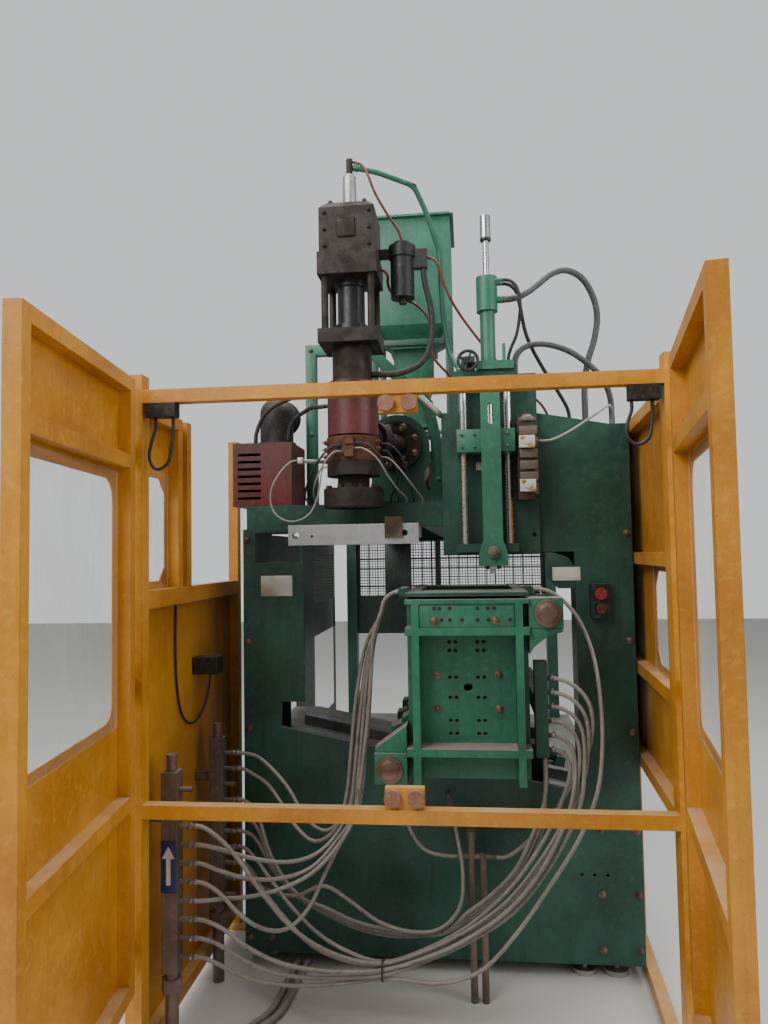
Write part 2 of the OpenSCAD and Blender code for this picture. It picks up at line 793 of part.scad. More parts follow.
module cutter_rail() {
    color([0.70, 0.70, 0.70]) place() {
        difference() {
            box(cut_x0, cut_x1, rail_y, rail_y + 30, rail_top - 70, rail_top);
            rod_y(cut_x0 + 26, rail_top - 36, rail_y - 1, rail_y + 31, 12);
            rod_y(cut_x1 - 50, rail_top - 34, rail_y - 1, rail_y + 31, 12);
            rod_y(cut_x0 + 84, rail_top - 40, rail_y - 1, rail_y + 31, 5);
            rod_y(cut_x1 - 112, rail_top - 36, rail_y - 1, rail_y + 31, 5);
        }
        for (x = [cut_x0 + 50, cut_x1 - 32])
            box(x, x + 22, rail_y + 30, deck_y + 60, deck_z - 40, deck_z);
        box(cut_x0 + 72, cut_x1 - 32, rail_y + 30, rail_y + 70, rail_top - 70, rail_top - 40);
    }
}

module cutter_arm() {
    color([0.25, 0.25, 0.26]) place() {
        box(-80, -20, rail_y - 14, rail_y - gap, rail_top - 50, rail_top + 22);
        box(-80, -20, rail_y - 14, rail_y + 50, rail_top + gap, rail_top + 22);
        box(-60, -40, rail_y + 50, close_y + 70, rail_top + 10, rail_top + 22);
    }
}

module blower_box() {
    color([0.42, 0.10, 0.09]) place() difference() {
        box(-695, -463, deck_y + 5, deck_y + 245, deck_top, deck_top + 245);
        box(-690, -468, deck_y + 10, deck_y + 240, deck_top + 5, deck_top + 240);
        for (i = [0:6]) box(-675, -585, deck_y, deck_y + 11, deck_top + 26 + i * 28, deck_top + 36 + i * 28);
    }
}

duct_r = 66;
duct_x = -550;
duct_y = deck_y + 125;
duct_z = 2063;

module blower_duct() {
    color([0.07, 0.07, 0.07]) place() difference() {
        union() {
            rod_z(duct_x, duct_y, deck_top + 245, duct_z, duct_r);
            translate([duct_x, duct_y, duct_z]) sphere(duct_r);
            rod_y(duct_x, duct_z, duct_y, duct_y + 110, duct_r);
            rod_z(duct_x, duct_y, deck_top + 245, deck_top + 257, duct_r + 10);
            rod_y(duct_x, duct_z, duct_y + 98, duct_y + 110, duct_r + 8);
        }
        rod_y(duct_x, duct_z, duct_y + 40, duct_y + 111, duct_r - 6);
    }
}

filter_x = -18;
filter_y = close_y + 40;
filter_z = 2440;

// A round bar between two points
module bar(a, b, r) {
    d = b - a;
    translate(a) rotate([0, acos(d[2] / norm(d)), atan2(d[1], d[0])]) cylinder(r = r, h = norm(d));
}

pipe_pts = [
    [-195, 580, 2930], [-105, 590, 2912], [30, 625, 2868], [70, 660, 2785], [118, 700, 2640],
    [125, 700, 2400], [150, 690, 2240], [190, 637, 2160]
];

module air_pipe() {
    for (i = [0:len(pipe_pts) - 2]) bar(pipe_pts[i], pipe_pts[i + 1], 9);
    for (i = [1:len(pipe_pts) - 2]) translate(pipe_pts[i]) sphere(9.2);
}

module air_filter() {
    side_z = filter_z + 110;
    color([0.06, 0.06, 0.06]) place() {
        rod_z(filter_x, filter_y, filter_z, filter_z + 150, 44);
        rod_z(filter_x, filter_y, filter_z + 150, filter_z + 195, 50);
        rod_z(filter_x, filter_y, filter_z + 195, filter_z + 210, 30);
        rod_z(filter_x, filter_y, filter_z - 20, filter_z, 14);
        box(head_x + actuator_w / 2, filter_x, filter_y - 15, filter_y + 15, filter_z + 155, filter_z + 185);
        box(filter_x + 40, filter_x + 93, filter_y - 15, filter_y + 15, side_z, side_z + 70);
    }
    color([0.17, 0.45, 0.34]) place() difference() {
        air_pipe();
        rod_z(head_x, close_y, rod_top, rod_top + 90, cap_stem_r + gap);
    }
}

// Blow station

elbow_x = blow_x + 97;

module blow_backplate() {
    color([0.12, 0.33, 0.25]) place() {
        difference() {
            box(blow_x - 175, blow_x + 170, front_y - back_t, front_y, 1490, blow_top_z);
            box(blow_x - 176, blow_x - 125, front_y - back_t - 1, front_y + 1, 2010, blow_top_z + 1);
            for (z = [1560, 1700, 1840, 1980])
                rod_y(blow_x + 150, z, front_y - back_t - 1, front_y + 1, 8);
        }
        difference() {
            box(blow_x - 125, blow_x + 90, blow_y - 30, front_y - back_t, blow_top_z - 45, blow_top_z);
            for (x = guide_xs) rod_z(x, blow_y, blow_top_z - 46, blow_top_z + 1, guide_r);
            rod_z(blow_x, blow_y, blow_top_z - 46, blow_top_z + 1, blow_rod_r + fit);
        }
        difference() {
            box(blow_x - 125, blow_x + 90, blow_y - 30, front_y - back_t, 1500, 1530);
            for (x = guide_xs) rod_z(x, blow_y, 1499, 1531, guide_r);
            rod_z(blow_x, blow_y, 1499, 1531, 16 + fit);
        }
        rod_z(elbow_x, front_y - back_t / 2, blow_top_z - 1, blow_top_z + 25, 11);
        difference() {
            box(blow_x - 98, blow_x - 48, blow_y - 20, front_y - back_t, blow_top_z, blow_top_z + 55);
            rod_y(blow_x - 73, blow_top_z + 28, blow_y - 21, front_y, 8 + fit);
        }
    }
}

module blow_guides() {
    color([0.70, 0.70, 0.70]) place() for (x = guide_xs) rod_z(x, blow_y, 1500, blow_top_z, guide_r);
}

cyl_z0 = blow_top_z;
port_x = blow_x + 58;

module blow_cylinder() {
    color([0.18, 0.47, 0.36]) place() {
        difference() {
            union() {
                box(blow_x - 44, blow_x + 88, blow_y - 45, blow_y + 45, cyl_z0, cyl_z0 + 30);
                rod_z(blow_x, blow_y, cyl_z0 + 30, cyl_z0 + 216, 27);
                rod_z(blow_x, blow_y, cyl_z0 + 216, cyl_z0 + 342, 38);
            }
            rod_z(blow_x, blow_y, cyl_z0 - 1, cyl_z0 + 343, blow_rod_r + fit);
        }
        rod_z(blow_x + 55, blow_y - 20, cyl_z0 + 29, cyl_z0 + 95, 6);
        rod_z(blow_x + 72, blow_y + 20, cyl_z0 + 29, cyl_z0 + 45, 7);
        rod_x(blow_y, cyl_z0 + 260, blow_x + 30, port_x, 13);
        for (y = [-20, 20]) rod_x(blow_y + y, cyl_z0 + 325, blow_x + 20, port_x, 7);
    }
}

foot_z = 1452;

module blow_carrier() {
    color([0.19, 0.50, 0.38]) place() {
        profile_y(blow_y - 80, blow_y - 60) difference() {
            union() {
                translate([blow_x - 34, foot_z]) square([68, 611]);
                polygon([
                    [blow_x - 50, foot_z], [blow_x + 50, foot_z], [blow_x + 50, foot_z + 40],
                    [blow_x + 34, foot_z + 90], [blow_x - 34, foot_z + 90], [blow_x - 50, foot_z + 40]
                ]);
            }
            translate([blow_x - 10, foot_z + 492]) rounded(20, 73, 9);
        }
        difference() {
            box(blow_x - 50, blow_x + 50, blow_y - 60, blow_y + 30, foot_z, foot_z + 30);
            rod_z(blow_x, blow_y, foot_z - 1, foot_z + 31, 16 + fit);
        }
    }
}

tip_z = clamp_z + mould_h / 2 + blow_stroke + 2;

module blow_pin() {
    color([0.66, 0.66, 0.66]) place() {
        difference() {
            union() {
                box(blow_x - 118, blow_x + 84, blow_y - 60, blow_y + 40, 1850, 1930);
                rod_z(blow_x, blow_y, foot_z - 11, 1860, 16);
                rod_z(blow_x, blow_y, 1920, cyl_z0 + 352 + blow_stroke, blow_rod_r);
            }
            for (x = guide_xs) rod_z(x, blow_y, 1849, 1931, guide_r + fit);
        }
        rod_z(blow_x, blow_y, cyl_z0 + 351 + blow_stroke, cyl_z0 + 439 + blow_stroke, 19);
        hex_z(blow_x, blow_y, foot_z - 12, foot_z, 26);
        rod_z(blow_x, blow_y, tip_z, foot_z - 11, 9);
    }
}

module blow_valves() {
    color([0.33, 0.24, 0.16]) place() {
        box(blow_x + 92, blow_x + 152, blow_y - 30, front_y - back_t, 1682, 1958);
        for (z = [1715, 1870]) box(blow_x + 98, blow_x + 146, blow_y - 62, blow_y - 30, z, z + 42);
        for (z = [1700, 1780, 1890]) rod_x(blow_y, z, blow_x + 151, blow_x + 166, 9);
    }
}

module handwheel() {
    wheel_x = blow_x - 73;
    wheel_z = blow_top_z + 28;
    color([0.07, 0.07, 0.07]) place() {
        translate([wheel_x, blow_y - 66, wheel_z]) rotate([-90, 0, 0])
            rotate_extrude($fn = 48) translate([wheel_r - 6, 0]) circle(6, $fn = 16);
        for (a = [0:90:270]) translate([wheel_x, blow_y - 66, wheel_z]) rotate([0, a + 20, 0])
            cylinder(r = 4, h = wheel_r - 6, $fn = 16);
        rod_y(wheel_x, wheel_z, blow_y - 76, blow_y - 20 - gap, 13);
        rod_y(wheel_x, wheel_z, blow_y - 20 - gap, front_y - back_t, 8);
    }
}

// Clamp

tie_pts = [[clamp_x + tie_dx, clamp_z + tie_dz], [clamp_x - tie_dx, clamp_z - tie_dz]];
boss_r = tie_r + 22;

module platen_outline() {
    translate([platen_left, clamp_z - platen_h / 2]) square([platen_w, platen_h]);
    for (s = [1, -1]) translate([clamp_x, clamp_z]) scale([s, s]) {
        translate([platen_w / 2 - 1, tie_dz - boss_r - 20]) square([tie_dx - platen_w / 2 + 1, 2 * boss_r + 14]);
        translate([tie_dx, tie_dz - 6]) circle(boss_r - 8);
        translate([tie_dx - 1, tie_dz - boss_r + 12]) square([boss_r - 7, 2 * boss_r - 28]);
        polygon([
            [platen_w / 2 - 1, tie_dz - boss_r - 70], [platen_w / 2 + 12, tie_dz - boss_r - 40],
            [tie_dx - 4, tie_dz - boss_r - 20], [platen_w / 2 - 1, tie_dz - boss_r - 19]
        ]);
    }
}

module front_platen() {
    rib_w = 24;
    color([0.16, 0.50, 0.37]) place() difference() {
        union() {
            profile_y(platen_face_y, close_y - mould_t) platen_outline();
            for (x = [platen_left + 20, platen_left + platen_w - 20 - rib_w])
                box(x, x + rib_w, rim_y, platen_face_y, clamp_z - platen_h / 2, platen_top);
            for (z = [clamp_z - 175 - rib_w, clamp_z + 175])
                box(platen_left, platen_left + platen_w, rim_y, platen_face_y, z, z + rib_w);
            for (p = tie_pts) rod_y(p[0], p[1], rim_y + 10, platen_face_y, boss_r - 6);
            box(platen_left, platen_left + platen_w, rim_y, platen_face_y, platen_top - 14, platen_top);
        }
        for (p = tie_pts) rod_y(p[0], p[1], rim_y - 1, close_y, tie_r + fit);
        for (x = [-58, -38, 32, 52], z = [-146, -105, -32, 32, 118, 146])
            rod_y(clamp_x + x, clamp_z + z, platen_face_y - 1, platen_face_y + 30, 6);
        rod_y(clamp_x, clamp_z, platen_face_y - 1, close_y, 14);
    }
}

module tie_bars() {
    color([0.55, 0.52, 0.48]) place() for (p = tie_pts) {
        rod_y(p[0], p[1], rim_y - 28, end_plate_y + end_plate_t + 40, tie_r);
        hex_y(p[0], p[1], rim_y - 20, rim_y + 10, tie_r + 20);
        hex_y(p[0], p[1], end_plate_y + end_plate_t, end_plate_y + end_plate_t + 30, tie_r + 18);
    }
}

module clamp_cylinder() {
    color([0.15, 0.42, 0.32]) place() difference() {
        union() {
            profile_y(end_plate_y, end_plate_y + end_plate_t) platen_outline();
            rod_y(clamp_x, clamp_z, clamp_cyl_y, clamp_cyl_y + clamp_cyl_len, clamp_cyl_r);
            rod_y(clamp_x, clamp_z, clamp_cyl_y, clamp_cyl_y + 30, clamp_cyl_r + 22);
            rod_y(clamp_x, clamp_z, clamp_cyl_y + clamp_cyl_len - 40, clamp_cyl_y + clamp_cyl_len, clamp_cyl_r + 12);
        }
        for (p = tie_pts) rod_y(p[0], p[1], end_plate_y - 1, clamp_cyl_y + 1, tie_r + fit);
        rod_y(clamp_x, clamp_z, end_plate_y - 1, clamp_cyl_y + 40, clamp_rod_r + fit);
        rod_y(clamp_x, clamp_z, clamp_cyl_y + 20, clamp_cyl_y + clamp_cyl_len - 30, clamp_cyl_r - 16);
    }
}

module rear_platen() {
    color([0.16, 0.46, 0.35]) place() {
        difference() {
            profile_y(rear_platen_y, rear_platen_y + rear_platen_t) platen_outline();
            for (p = tie_pts) rod_y(p[0], p[1], rear_platen_y - 1, rear_platen_y + rear_platen_t + 1, tie_r + fit);
        }
        rod_y(clamp_x, clamp_z, rear_platen_y + rear_platen_t, clamp_cyl_y + 30, clamp_rod_r);
        rod_y(clamp_x, clamp_z, clamp_cyl_y + 22, clamp_cyl_y + 50, clamp_cyl_r - 16 - fit);
    }
}

// The bottle cavity of both halves, about the closing plane
module bottle() {
    translate([clamp_x, close_y, clamp_z]) rotate_extrude($fn = 64) polygon([
        [0, -170], [58, -170], [66, -160], [66, 60], [60, 90], [40, 120], [24, 140], [20, 150],
        [20, 240], [0, 240]
    ]);
}

module mould_half(y0, y1) {
    difference() {
        box(clamp_x - mould_w / 2, clamp_x + mould_w / 2, y0, y1, clamp_z - mould_h / 2, clamp_z + mould_h / 2);
        bottle();
        for (s = [-1, 1], z = [-120, 0, 120])
            rod_y(clamp_x + s * (mould_w / 2 - 30), clamp_z + z, close_y - 20, close_y + 20, 10);
    }
}

module front_mould() {
    color([0.62, 0.62, 0.62]) place() mould_half(close_y - mould_t, close_y);
}

module rear_mould() {
    color([0.62, 0.62, 0.62]) place() mould_half(close_y, close_y + mould_t);
}

bridge_z = platen_top + 8;
block_x = clamp_x + platen_w / 2 + 15;
block_zs = [for (i = [0:5]) clamp_z - 195 + i * 45];
comb_y = rim_y + 70;
comb_pitch = 23;
shoe_t = 14;

module carriage_frame() {
    color([0.15, 0.43, 0.33]) place() {
        difference() {
            union() {
                profile_y(guide_y, guide_y + guide_t) union() {
                    platen_outline();
                    translate([sled_x0, sled_top - 20]) square([sled_x1 - sled_x0, 60]);
                    translate([platen_left, platen_top - 20]) square([platen_w, 32]);
                }
                profile_y(rail_ys[0] - shoe_t - gap, rail_ys[1] + rail_w + shoe_t + gap) polygon([
                    [sled_x0, bed_at(sled_x0) + rail_h + gap], [sled_x1, bed_at(sled_x1) + rail_h + gap],
                    [sled_x1, sled_top], [sled_x0, sled_top]
                ]);
                for (y = rail_ys, s = [-shoe_t - gap, rail_w + gap])
                    profile_y(y + s, y + s + shoe_t) polygon([
                        [sled_x0, bed_at(sled_x0) + 8], [sled_x1, bed_at(sled_x1) + 8],
                        [sled_x1, bed_at(sled_x1) + rail_h + 10], [sled_x0, bed_at(sled_x0) + rail_h + 10]
                    ]);
                for (x = [platen_left, platen_left + platen_w - 36])
                    box(x, x + 36, rim_y + 40, guide_y, bridge_z, bridge_z + 12);
                box(platen_left, platen_left + platen_w, rim_y + 20, close_y - mould_t + 10,
                    bridge_z, bridge_z + 12);
                box(block_x, block_x + 40, rim_y + 70, guide_y + 30, clamp_z - 90, clamp_z - 30);
                box(platen_left + platen_w - 5, block_x + 1, guide_y, guide_y + 30, clamp_z - 90, clamp_z - 30);
                box(block_x, block_x + 40, rim_y + 70, rim_y + 120, clamp_z - 215, clamp_z + 85);
                for (z = block_zs) rod_x(rim_y + 95, z, block_x + 39, block_x + 49, nipple_r);
                box(platen_left - 22, platen_left + 1, comb_y - 12, comb_y + 150, bridge_z, bridge_z + 26);
                box(platen_left + platen_w - 1, platen_left + platen_w + 20, comb_y + 60, comb_y + 110,
                    bridge_z, bridge_z + 26);
            }
            for (p = tie_pts) rod_y(p[0], p[1], guide_y - 1, guide_y + guide_t + 1, tie_r + fit);
            rod_y(clamp_x, clamp_z, guide_y - 1, guide_y + guide_t + 1, clamp_rod_r + fit);
        }
        shift_rod();
    }
}

shift_y = end_plate_y + end_plate_t + 80;
shift_x = 28;
shift_len = 580;
shift_r = 34;
shift_rod_r = 14;
shift_up = 46;
lug_x = -95;
piston_x = 440;

// A place on the bed, with X down the slope and Z square to it
module on_slope(x) {
    translate([x, 0, bed_at(x)]) rotate([0, bed_slope, 0]) children();
}

module shift_cylinder() {
    color([0.17, 0.40, 0.32]) place() on_slope(shift_x) difference() {
        union() {
            rod_x(shift_y, shift_up, 0, shift_len, shift_r);
            for (x = [0, shift_len - 40])
                box(x, x + 40, shift_y - 50, shift_y + 50, 0.2, shift_up);
        }
        rod_x(shift_y, shift_up, -1, 40, shift_rod_r + fit);
        rod_x(shift_y, shift_up, 30, shift_len - 14, shift_r - 10);
    }
}

// The rod of the shift cylinder with the sled's lug that carries it
module shift_rod() {
    piston = (shift_x - lug_x) / cos(bed_slope) + piston_x;
    on_slope(lug_x) {
        rod_x(shift_y, shift_up, -30, piston + 20, shift_rod_r);
        rod_x(shift_y, shift_up, piston, piston + 25, shift_r - 10 - fit);
        box(-20, 20, rail_ys[1] + rail_w + 5, shift_y + 24, 12, shift_up + 22);
    }
}

// Guard

module hinge_half(s) {
    for (z = hinge_zs) {
        translate([s * hinge_x, hinge_y, z - knuckle_h]) cylinder(r = knuckle_r, h = knuckle_h - gap);
        translate([s * hinge_x, hinge_y, z - gap]) cylinder(r = hinge_pin_r, h = knuckle_h);
        translate([s * hinge_x - 5, hinge_y + knuckle_r - 3, z - knuckle_h])
            cube([10, -hinge_y - knuckle_r + 3, knuckle_h - gap]);
    }
}

// Two holes for floor anchors, off apart from the middle of a foot plate
module anchor_holes(x, y, off) {
    for (s = [-1, 1]) rod_z(x + s * off, y, -1, foot_plate_t + 1, anchor_r);
}

module guard_frame() {
    color([0.80, 0.52, 0.12]) place() {
        for (s = [-1, 1]) {
            box(s * post_x - post_w / 2, s * post_x + post_w / 2, 0, post_w, foot_plate_t, post_h);
            difference() {
                box(s * post_x - foot_plate_w / 2, s * post_x + foot_plate_w / 2, -20, post_w + 20, 0, foot_plate_t);
                anchor_holes(s * post_x, post_w / 2, 55);
            }
            hinge_half(s);
        }
        for (z = [top_rail_z, low_rail_z])
            box(-guard_clear_w / 2, guard_clear_w / 2, 0, tube_w, z, z + tube_w);
        box(-45, 66, bracket_y, tube_w, low_rail_z + tube_w, low_rail_z + tube_w + 58);
        box(-45, 66, bracket_y, tube_w, top_rail_z - 54, top_rail_z);
    }
}

module door_buffers() {
    color([0.36, 0.20, 0.14]) place()
        for (x = buffer_xs, z = [low_rail_z + tube_w + 32, top_rail_z - 27])
            rod_y(x, z, hinge_y + tube_w / 2 + gap, bracket_y, buffer_r);
}

win_x0 = leaf_x + tube_w + 42;
win_x1 = door_w - tube_w - 30;
win_z0 = door_sill_z + 219;
win_z1 = door_mid_z - 76;
win_r = 60;

// A door drawn closed, hinge axis at the origin, running along +X
module door_leaf() {
    half = tube_w / 2;
    difference() {
        union() {
            for (x = [leaf_x, door_w - tube_w]) box(x, x + tube_w, -half, half, door_z, door_top_z);
            for (z = [door_z, door_sill_z - tube_w, door_mid_z - tube_w, door_top_z - tube_w])
                box(leaf_x + tube_w, door_w - tube_w, -half, half, z, z + tube_w);
            box(leaf_x + tube_w, door_w - tube_w, -half, -half + sheet_t, door_z, door_top_z);
            for (z = hinge_zs) {
                translate([0, 0, z]) cylinder(r = knuckle_r, h = knuckle_h);
                box(0, leaf_x + 1, -5, 5, z, z + knuckle_h);
            }
        }
        profile_y(-half - 1, -half + sheet_t + 1)
            translate([win_x0, win_z0]) rounded(win_x1 - win_x0, win_z1 - win_z0, win_r);
        for (z = hinge_zs) translate([0, 0, z - 1]) cylinder(r = hinge_pin_r + fit, h = knuckle_h + 2);
    }
}

module door_pane() {
    half = tube_w / 2;
    profile_y(-half + sheet_t, -half + sheet_t + pane_t)
        translate([win_x0 - 25, win_z0 - 25]) square([win_x1 - win_x0 + 50, win_z1 - win_z0 + 50]);
}

module at_left_door() {
    place() translate([-hinge_x, hinge_y, 0]) rotate([0, 0, -left_open]) children();
}

module at_right_door() {
    place() translate([hinge_x, hinge_y, 0]) rotate([0, 0, right_open]) mirror([1, 0, 0]) children();
}

module left_door() {
    color([0.82, 0.53, 0.12]) at_left_door() door_leaf();
}

module right_door() {
    color([0.80, 0.51, 0.12]) at_right_door() door_leaf();
}

module left_door_pane() {
    color([0.8, 0.85, 0.88, 0.4]) at_left_door() door_pane();
}

module right_door_pane() {
    color([0.8, 0.85, 0.88, 0.4]) at_right_door() door_pane();
}

wing_x = -post_x;
bay_y0 = 420;

module left_wing() {
    half = tube_w / 2;
    color([0.80, 0.50, 0.12]) place() difference() {
        union() {
            box(wing_x - half, wing_x + half, left_wing_len - tube_w, left_wing_len, foot_plate_t, 1980);
            box(wing_x - 60, wing_x + 60, left_wing_len - 80, left_wing_len + 40, 0, foot_plate_t);
            box(wing_x - half, wing_x + half, post_w, left_wing_len - tube_w, wing_sill_z - 55, wing_sill_z);
            box(wing_x - half, wing_x + half, post_w, left_wing_len - tube_w, 60, 100);
            box(wing_x - half, wing_x - half + sheet_t, post_w, left_wing_len - tube_w, 100, wing_sill_z - 55);
            for (y = [300, bay_y0 - tube_w])
                box(wing_x - half, wing_x + half, y, y + tube_w, wing_sill_z, 1965);
            box(wing_x - half, wing_x - half + sheet_t, post_w, bay_y0 - tube_w, wing_sill_z, 1965);
            box(wing_x - half, wing_x + half, post_w, 300, 1925, 1965);
        }
        anchor_holes(wing_x, left_wing_len - tube_w / 2, 42);
        profile_x(wing_x - half - 1, wing_x - half + sheet_t + 1)
            translate([post_w + 30, wing_sill_z + 25]) chamfered(190, 330, 45);
    }
}

module at_right_wing() {
    place() translate([post_x, post_w, 0]) rotate([0, 0, -right_wing_flare]) children();
}

module right_wing() {
    half = tube_w / 2;
    wing_len = right_wing_len - post_w;
    color([0.72, 0.42, 0.11]) at_right_wing() difference() {
        union() {
            box(-half, half, 1.2, tube_w, foot_plate_t + gap, 1965);
            box(-half, half, wing_len - tube_w, wing_len, 0, 1965);
            for (z = [1925, 1450, 1065, 740, 10]) box(-half, half, tube_w, wing_len - tube_w, z, z + tube_w);
            box(half - sheet_t, half, tube_w, wing_len - tube_w, 1490, 1925);
            box(half - sheet_t, half, tube_w, wing_len - tube_w, 780, 1450);
        }
        profile_x(half - sheet_t - 1, half + 1)
            translate([tube_w + 40, 1130]) chamfered(330, 300, 50);
    }
}

module wing_panes() {
    half = tube_w / 2;
    color([0.8, 0.85, 0.88, 0.4]) {
        place() box(wing_x - half + sheet_t, wing_x - half + sheet_t + pane_t, post_w + 10, 290,
            wing_sill_z + 5, wing_sill_z + 375);
        at_right_wing() box(half - sheet_t - pane_t, half - sheet_t, tube_w + 20, tube_w + 390, 1110, 1449);
    }
}

module guard_switches() {
    color([0.10, 0.10, 0.11]) place() {
        box(-guard_clear_w / 2 + 10, -guard_clear_w / 2 + 100, 0, tube_w, top_rail_z - 42, top_rail_z);
        box(guard_clear_w / 2 - 95, guard_clear_w / 2 - 10, 0, tube_w, top_rail_z - 42, top_rail_z);
        box(wing_x + tube_w / 2 - tube_w + sheet_t, wing_x + 76, 520, 590, 1080, 1140);
    }
}

manifold_x = -712;
manifold_ys = [130, 560];
manifold_z0 = 260;
tip_x = manifold_x + manifold_w / 2 + 40;

function nipple_z(i) = manifold_z0 + 40 + i * nipple_pitch;

floor_pipe_x = 190;
floor_pipe_y = 500;
tee_z = 475;

module water_manifolds() {
    half = manifold_w / 2;
    color([0.42, 0.36, 0.34]) place() {
        for (y = manifold_ys) {
            box(manifold_x - half, manifold_x + half, y - half, y + half, manifold_z0, 850);
            rod_z(manifold_x, y, 0, manifold_z0 + 1, 20);
            hex_z(manifold_x, y, manifold_z0 - 60, manifold_z0 - 20, 32);
            rod_z(manifold_x, y, 849, 900, 16);
            for (i = [0:nipple_n - 1]) rod_x(y, nipple_z(i), manifold_x + half - 1, tip_x, nipple_r);
            box(wing_x - tube_w / 2 + sheet_t, manifold_x - half + 1, y - 15, y + 15, 700, 730);
        }
        rod_z(floor_pipe_x, floor_pipe_y, 0, 560, 12);
        rod_z(floor_pipe_x + 38, floor_pipe_y, 0, tee_z + 10, 12);
        rod_x(floor_pipe_y, tee_z, floor_pipe_x - 45, floor_pipe_x + 80, nipple_r + 1);
        box(floor_pipe_x - 15, floor_pipe_x + 15, floor_pipe_y + 5, front_y, 530, 560);
    }
}

// Hoses: the points of each route, in the guard's place, then a smooth curve through them

function unit(v) = v / norm(v);
// A hose leaves each end square to the fitting there
function square_to(v) = let (m = max([for (c = v) abs(c)])) unit([for (c = v) abs(c) == m ? c : 0]);
function heading(p, i) = i == 0 ? square_to(p[1] - p[0])
    : i == len(p) - 1 ? square_to(p[i] - p[i - 1])
    : unit(unit(p[i] - p[i - 1]) + unit(p[i + 1] - p[i]));
function between(a, b, u, v, t) = (1 - t) * (1 - t) * ((1 + 2 * t) * a + t * norm(b - a) * u)
    + t * t * ((3 - 2 * t) * b - (1 - t) * norm(b - a) * v);
function curve(p, n) = [
    for (i = [0:len(p) - 2], k = [0:n - 1])
        between(p[i], p[i + 1], heading(p, i), heading(p, i + 1), k / n),
    p[len(p) - 1]
];
function carried(u, t) = unit(u - (u * t) * t);
function sides(d) = [
    for (i = 0, u = carried([0.3, 0.2, 0.93], d[0]); i < len(d);
        i = i + 1, u = carried(u, d[min(i, len(d) - 1)])) u
];

module tube(route, r) {
    p = curve(route, 2);
    rings = len(p);
    d = [for (i = [0:rings - 1]) i == 0 ? heading(route, 0)
        : i == rings - 1 ? heading(route, len(route) - 1) : unit(p[i + 1] - p[i - 1])];
    u = sides(d);
    n = 8;
    points = [
        for (i = [0:rings - 1], k = [0:n - 1])
            p[i] + r * (cos(360 * k / n) * u[i] + sin(360 * k / n) * cross(d[i], u[i]))
    ];
    walls = [
        for (i = [0:rings - 2], k = [0:n - 1])
            [i * n + k, i * n + (k + 1) % n, (i + 1) * n + (k + 1) % n, (i + 1) * n + k]
    ];
    polyhedron(points, concat([[for (k = [n - 1:-1:0]) k]], walls, [[for (k = [0:n - 1]) (rings - 1) * n + k]]));
}

front_y0 = manifold_ys[0];
rear_y0 = manifold_ys[1];
comb_x = platen_left - 22 - gap;
comb_z = bridge_z + 14;
comb_bend = 58;
block_end_x = block_x + 49 + gap;
block_y = rim_y + 95;

function tip(y, i) = [[tip_x + gap, y, nipple_z(i)], [tip_x + 25, y, nipple_z(i)]];
// The last stretch up to place i of the comb, in a quarter turn
function comb(i) = [for (a = [0:30:90])
    [comb_x - comb_bend * cos(a), comb_y + i * comb_pitch, comb_z - comb_bend * (1 - sin(a))]];
// The last stretch up to nipple i of the hose block, in a quarter turn from a lane x further out
function at_block(i, x) = [for (a = [0:30:90])
    [block_end_x + x * cos(a), block_y, block_zs[i] - x * (1 - sin(a))]];

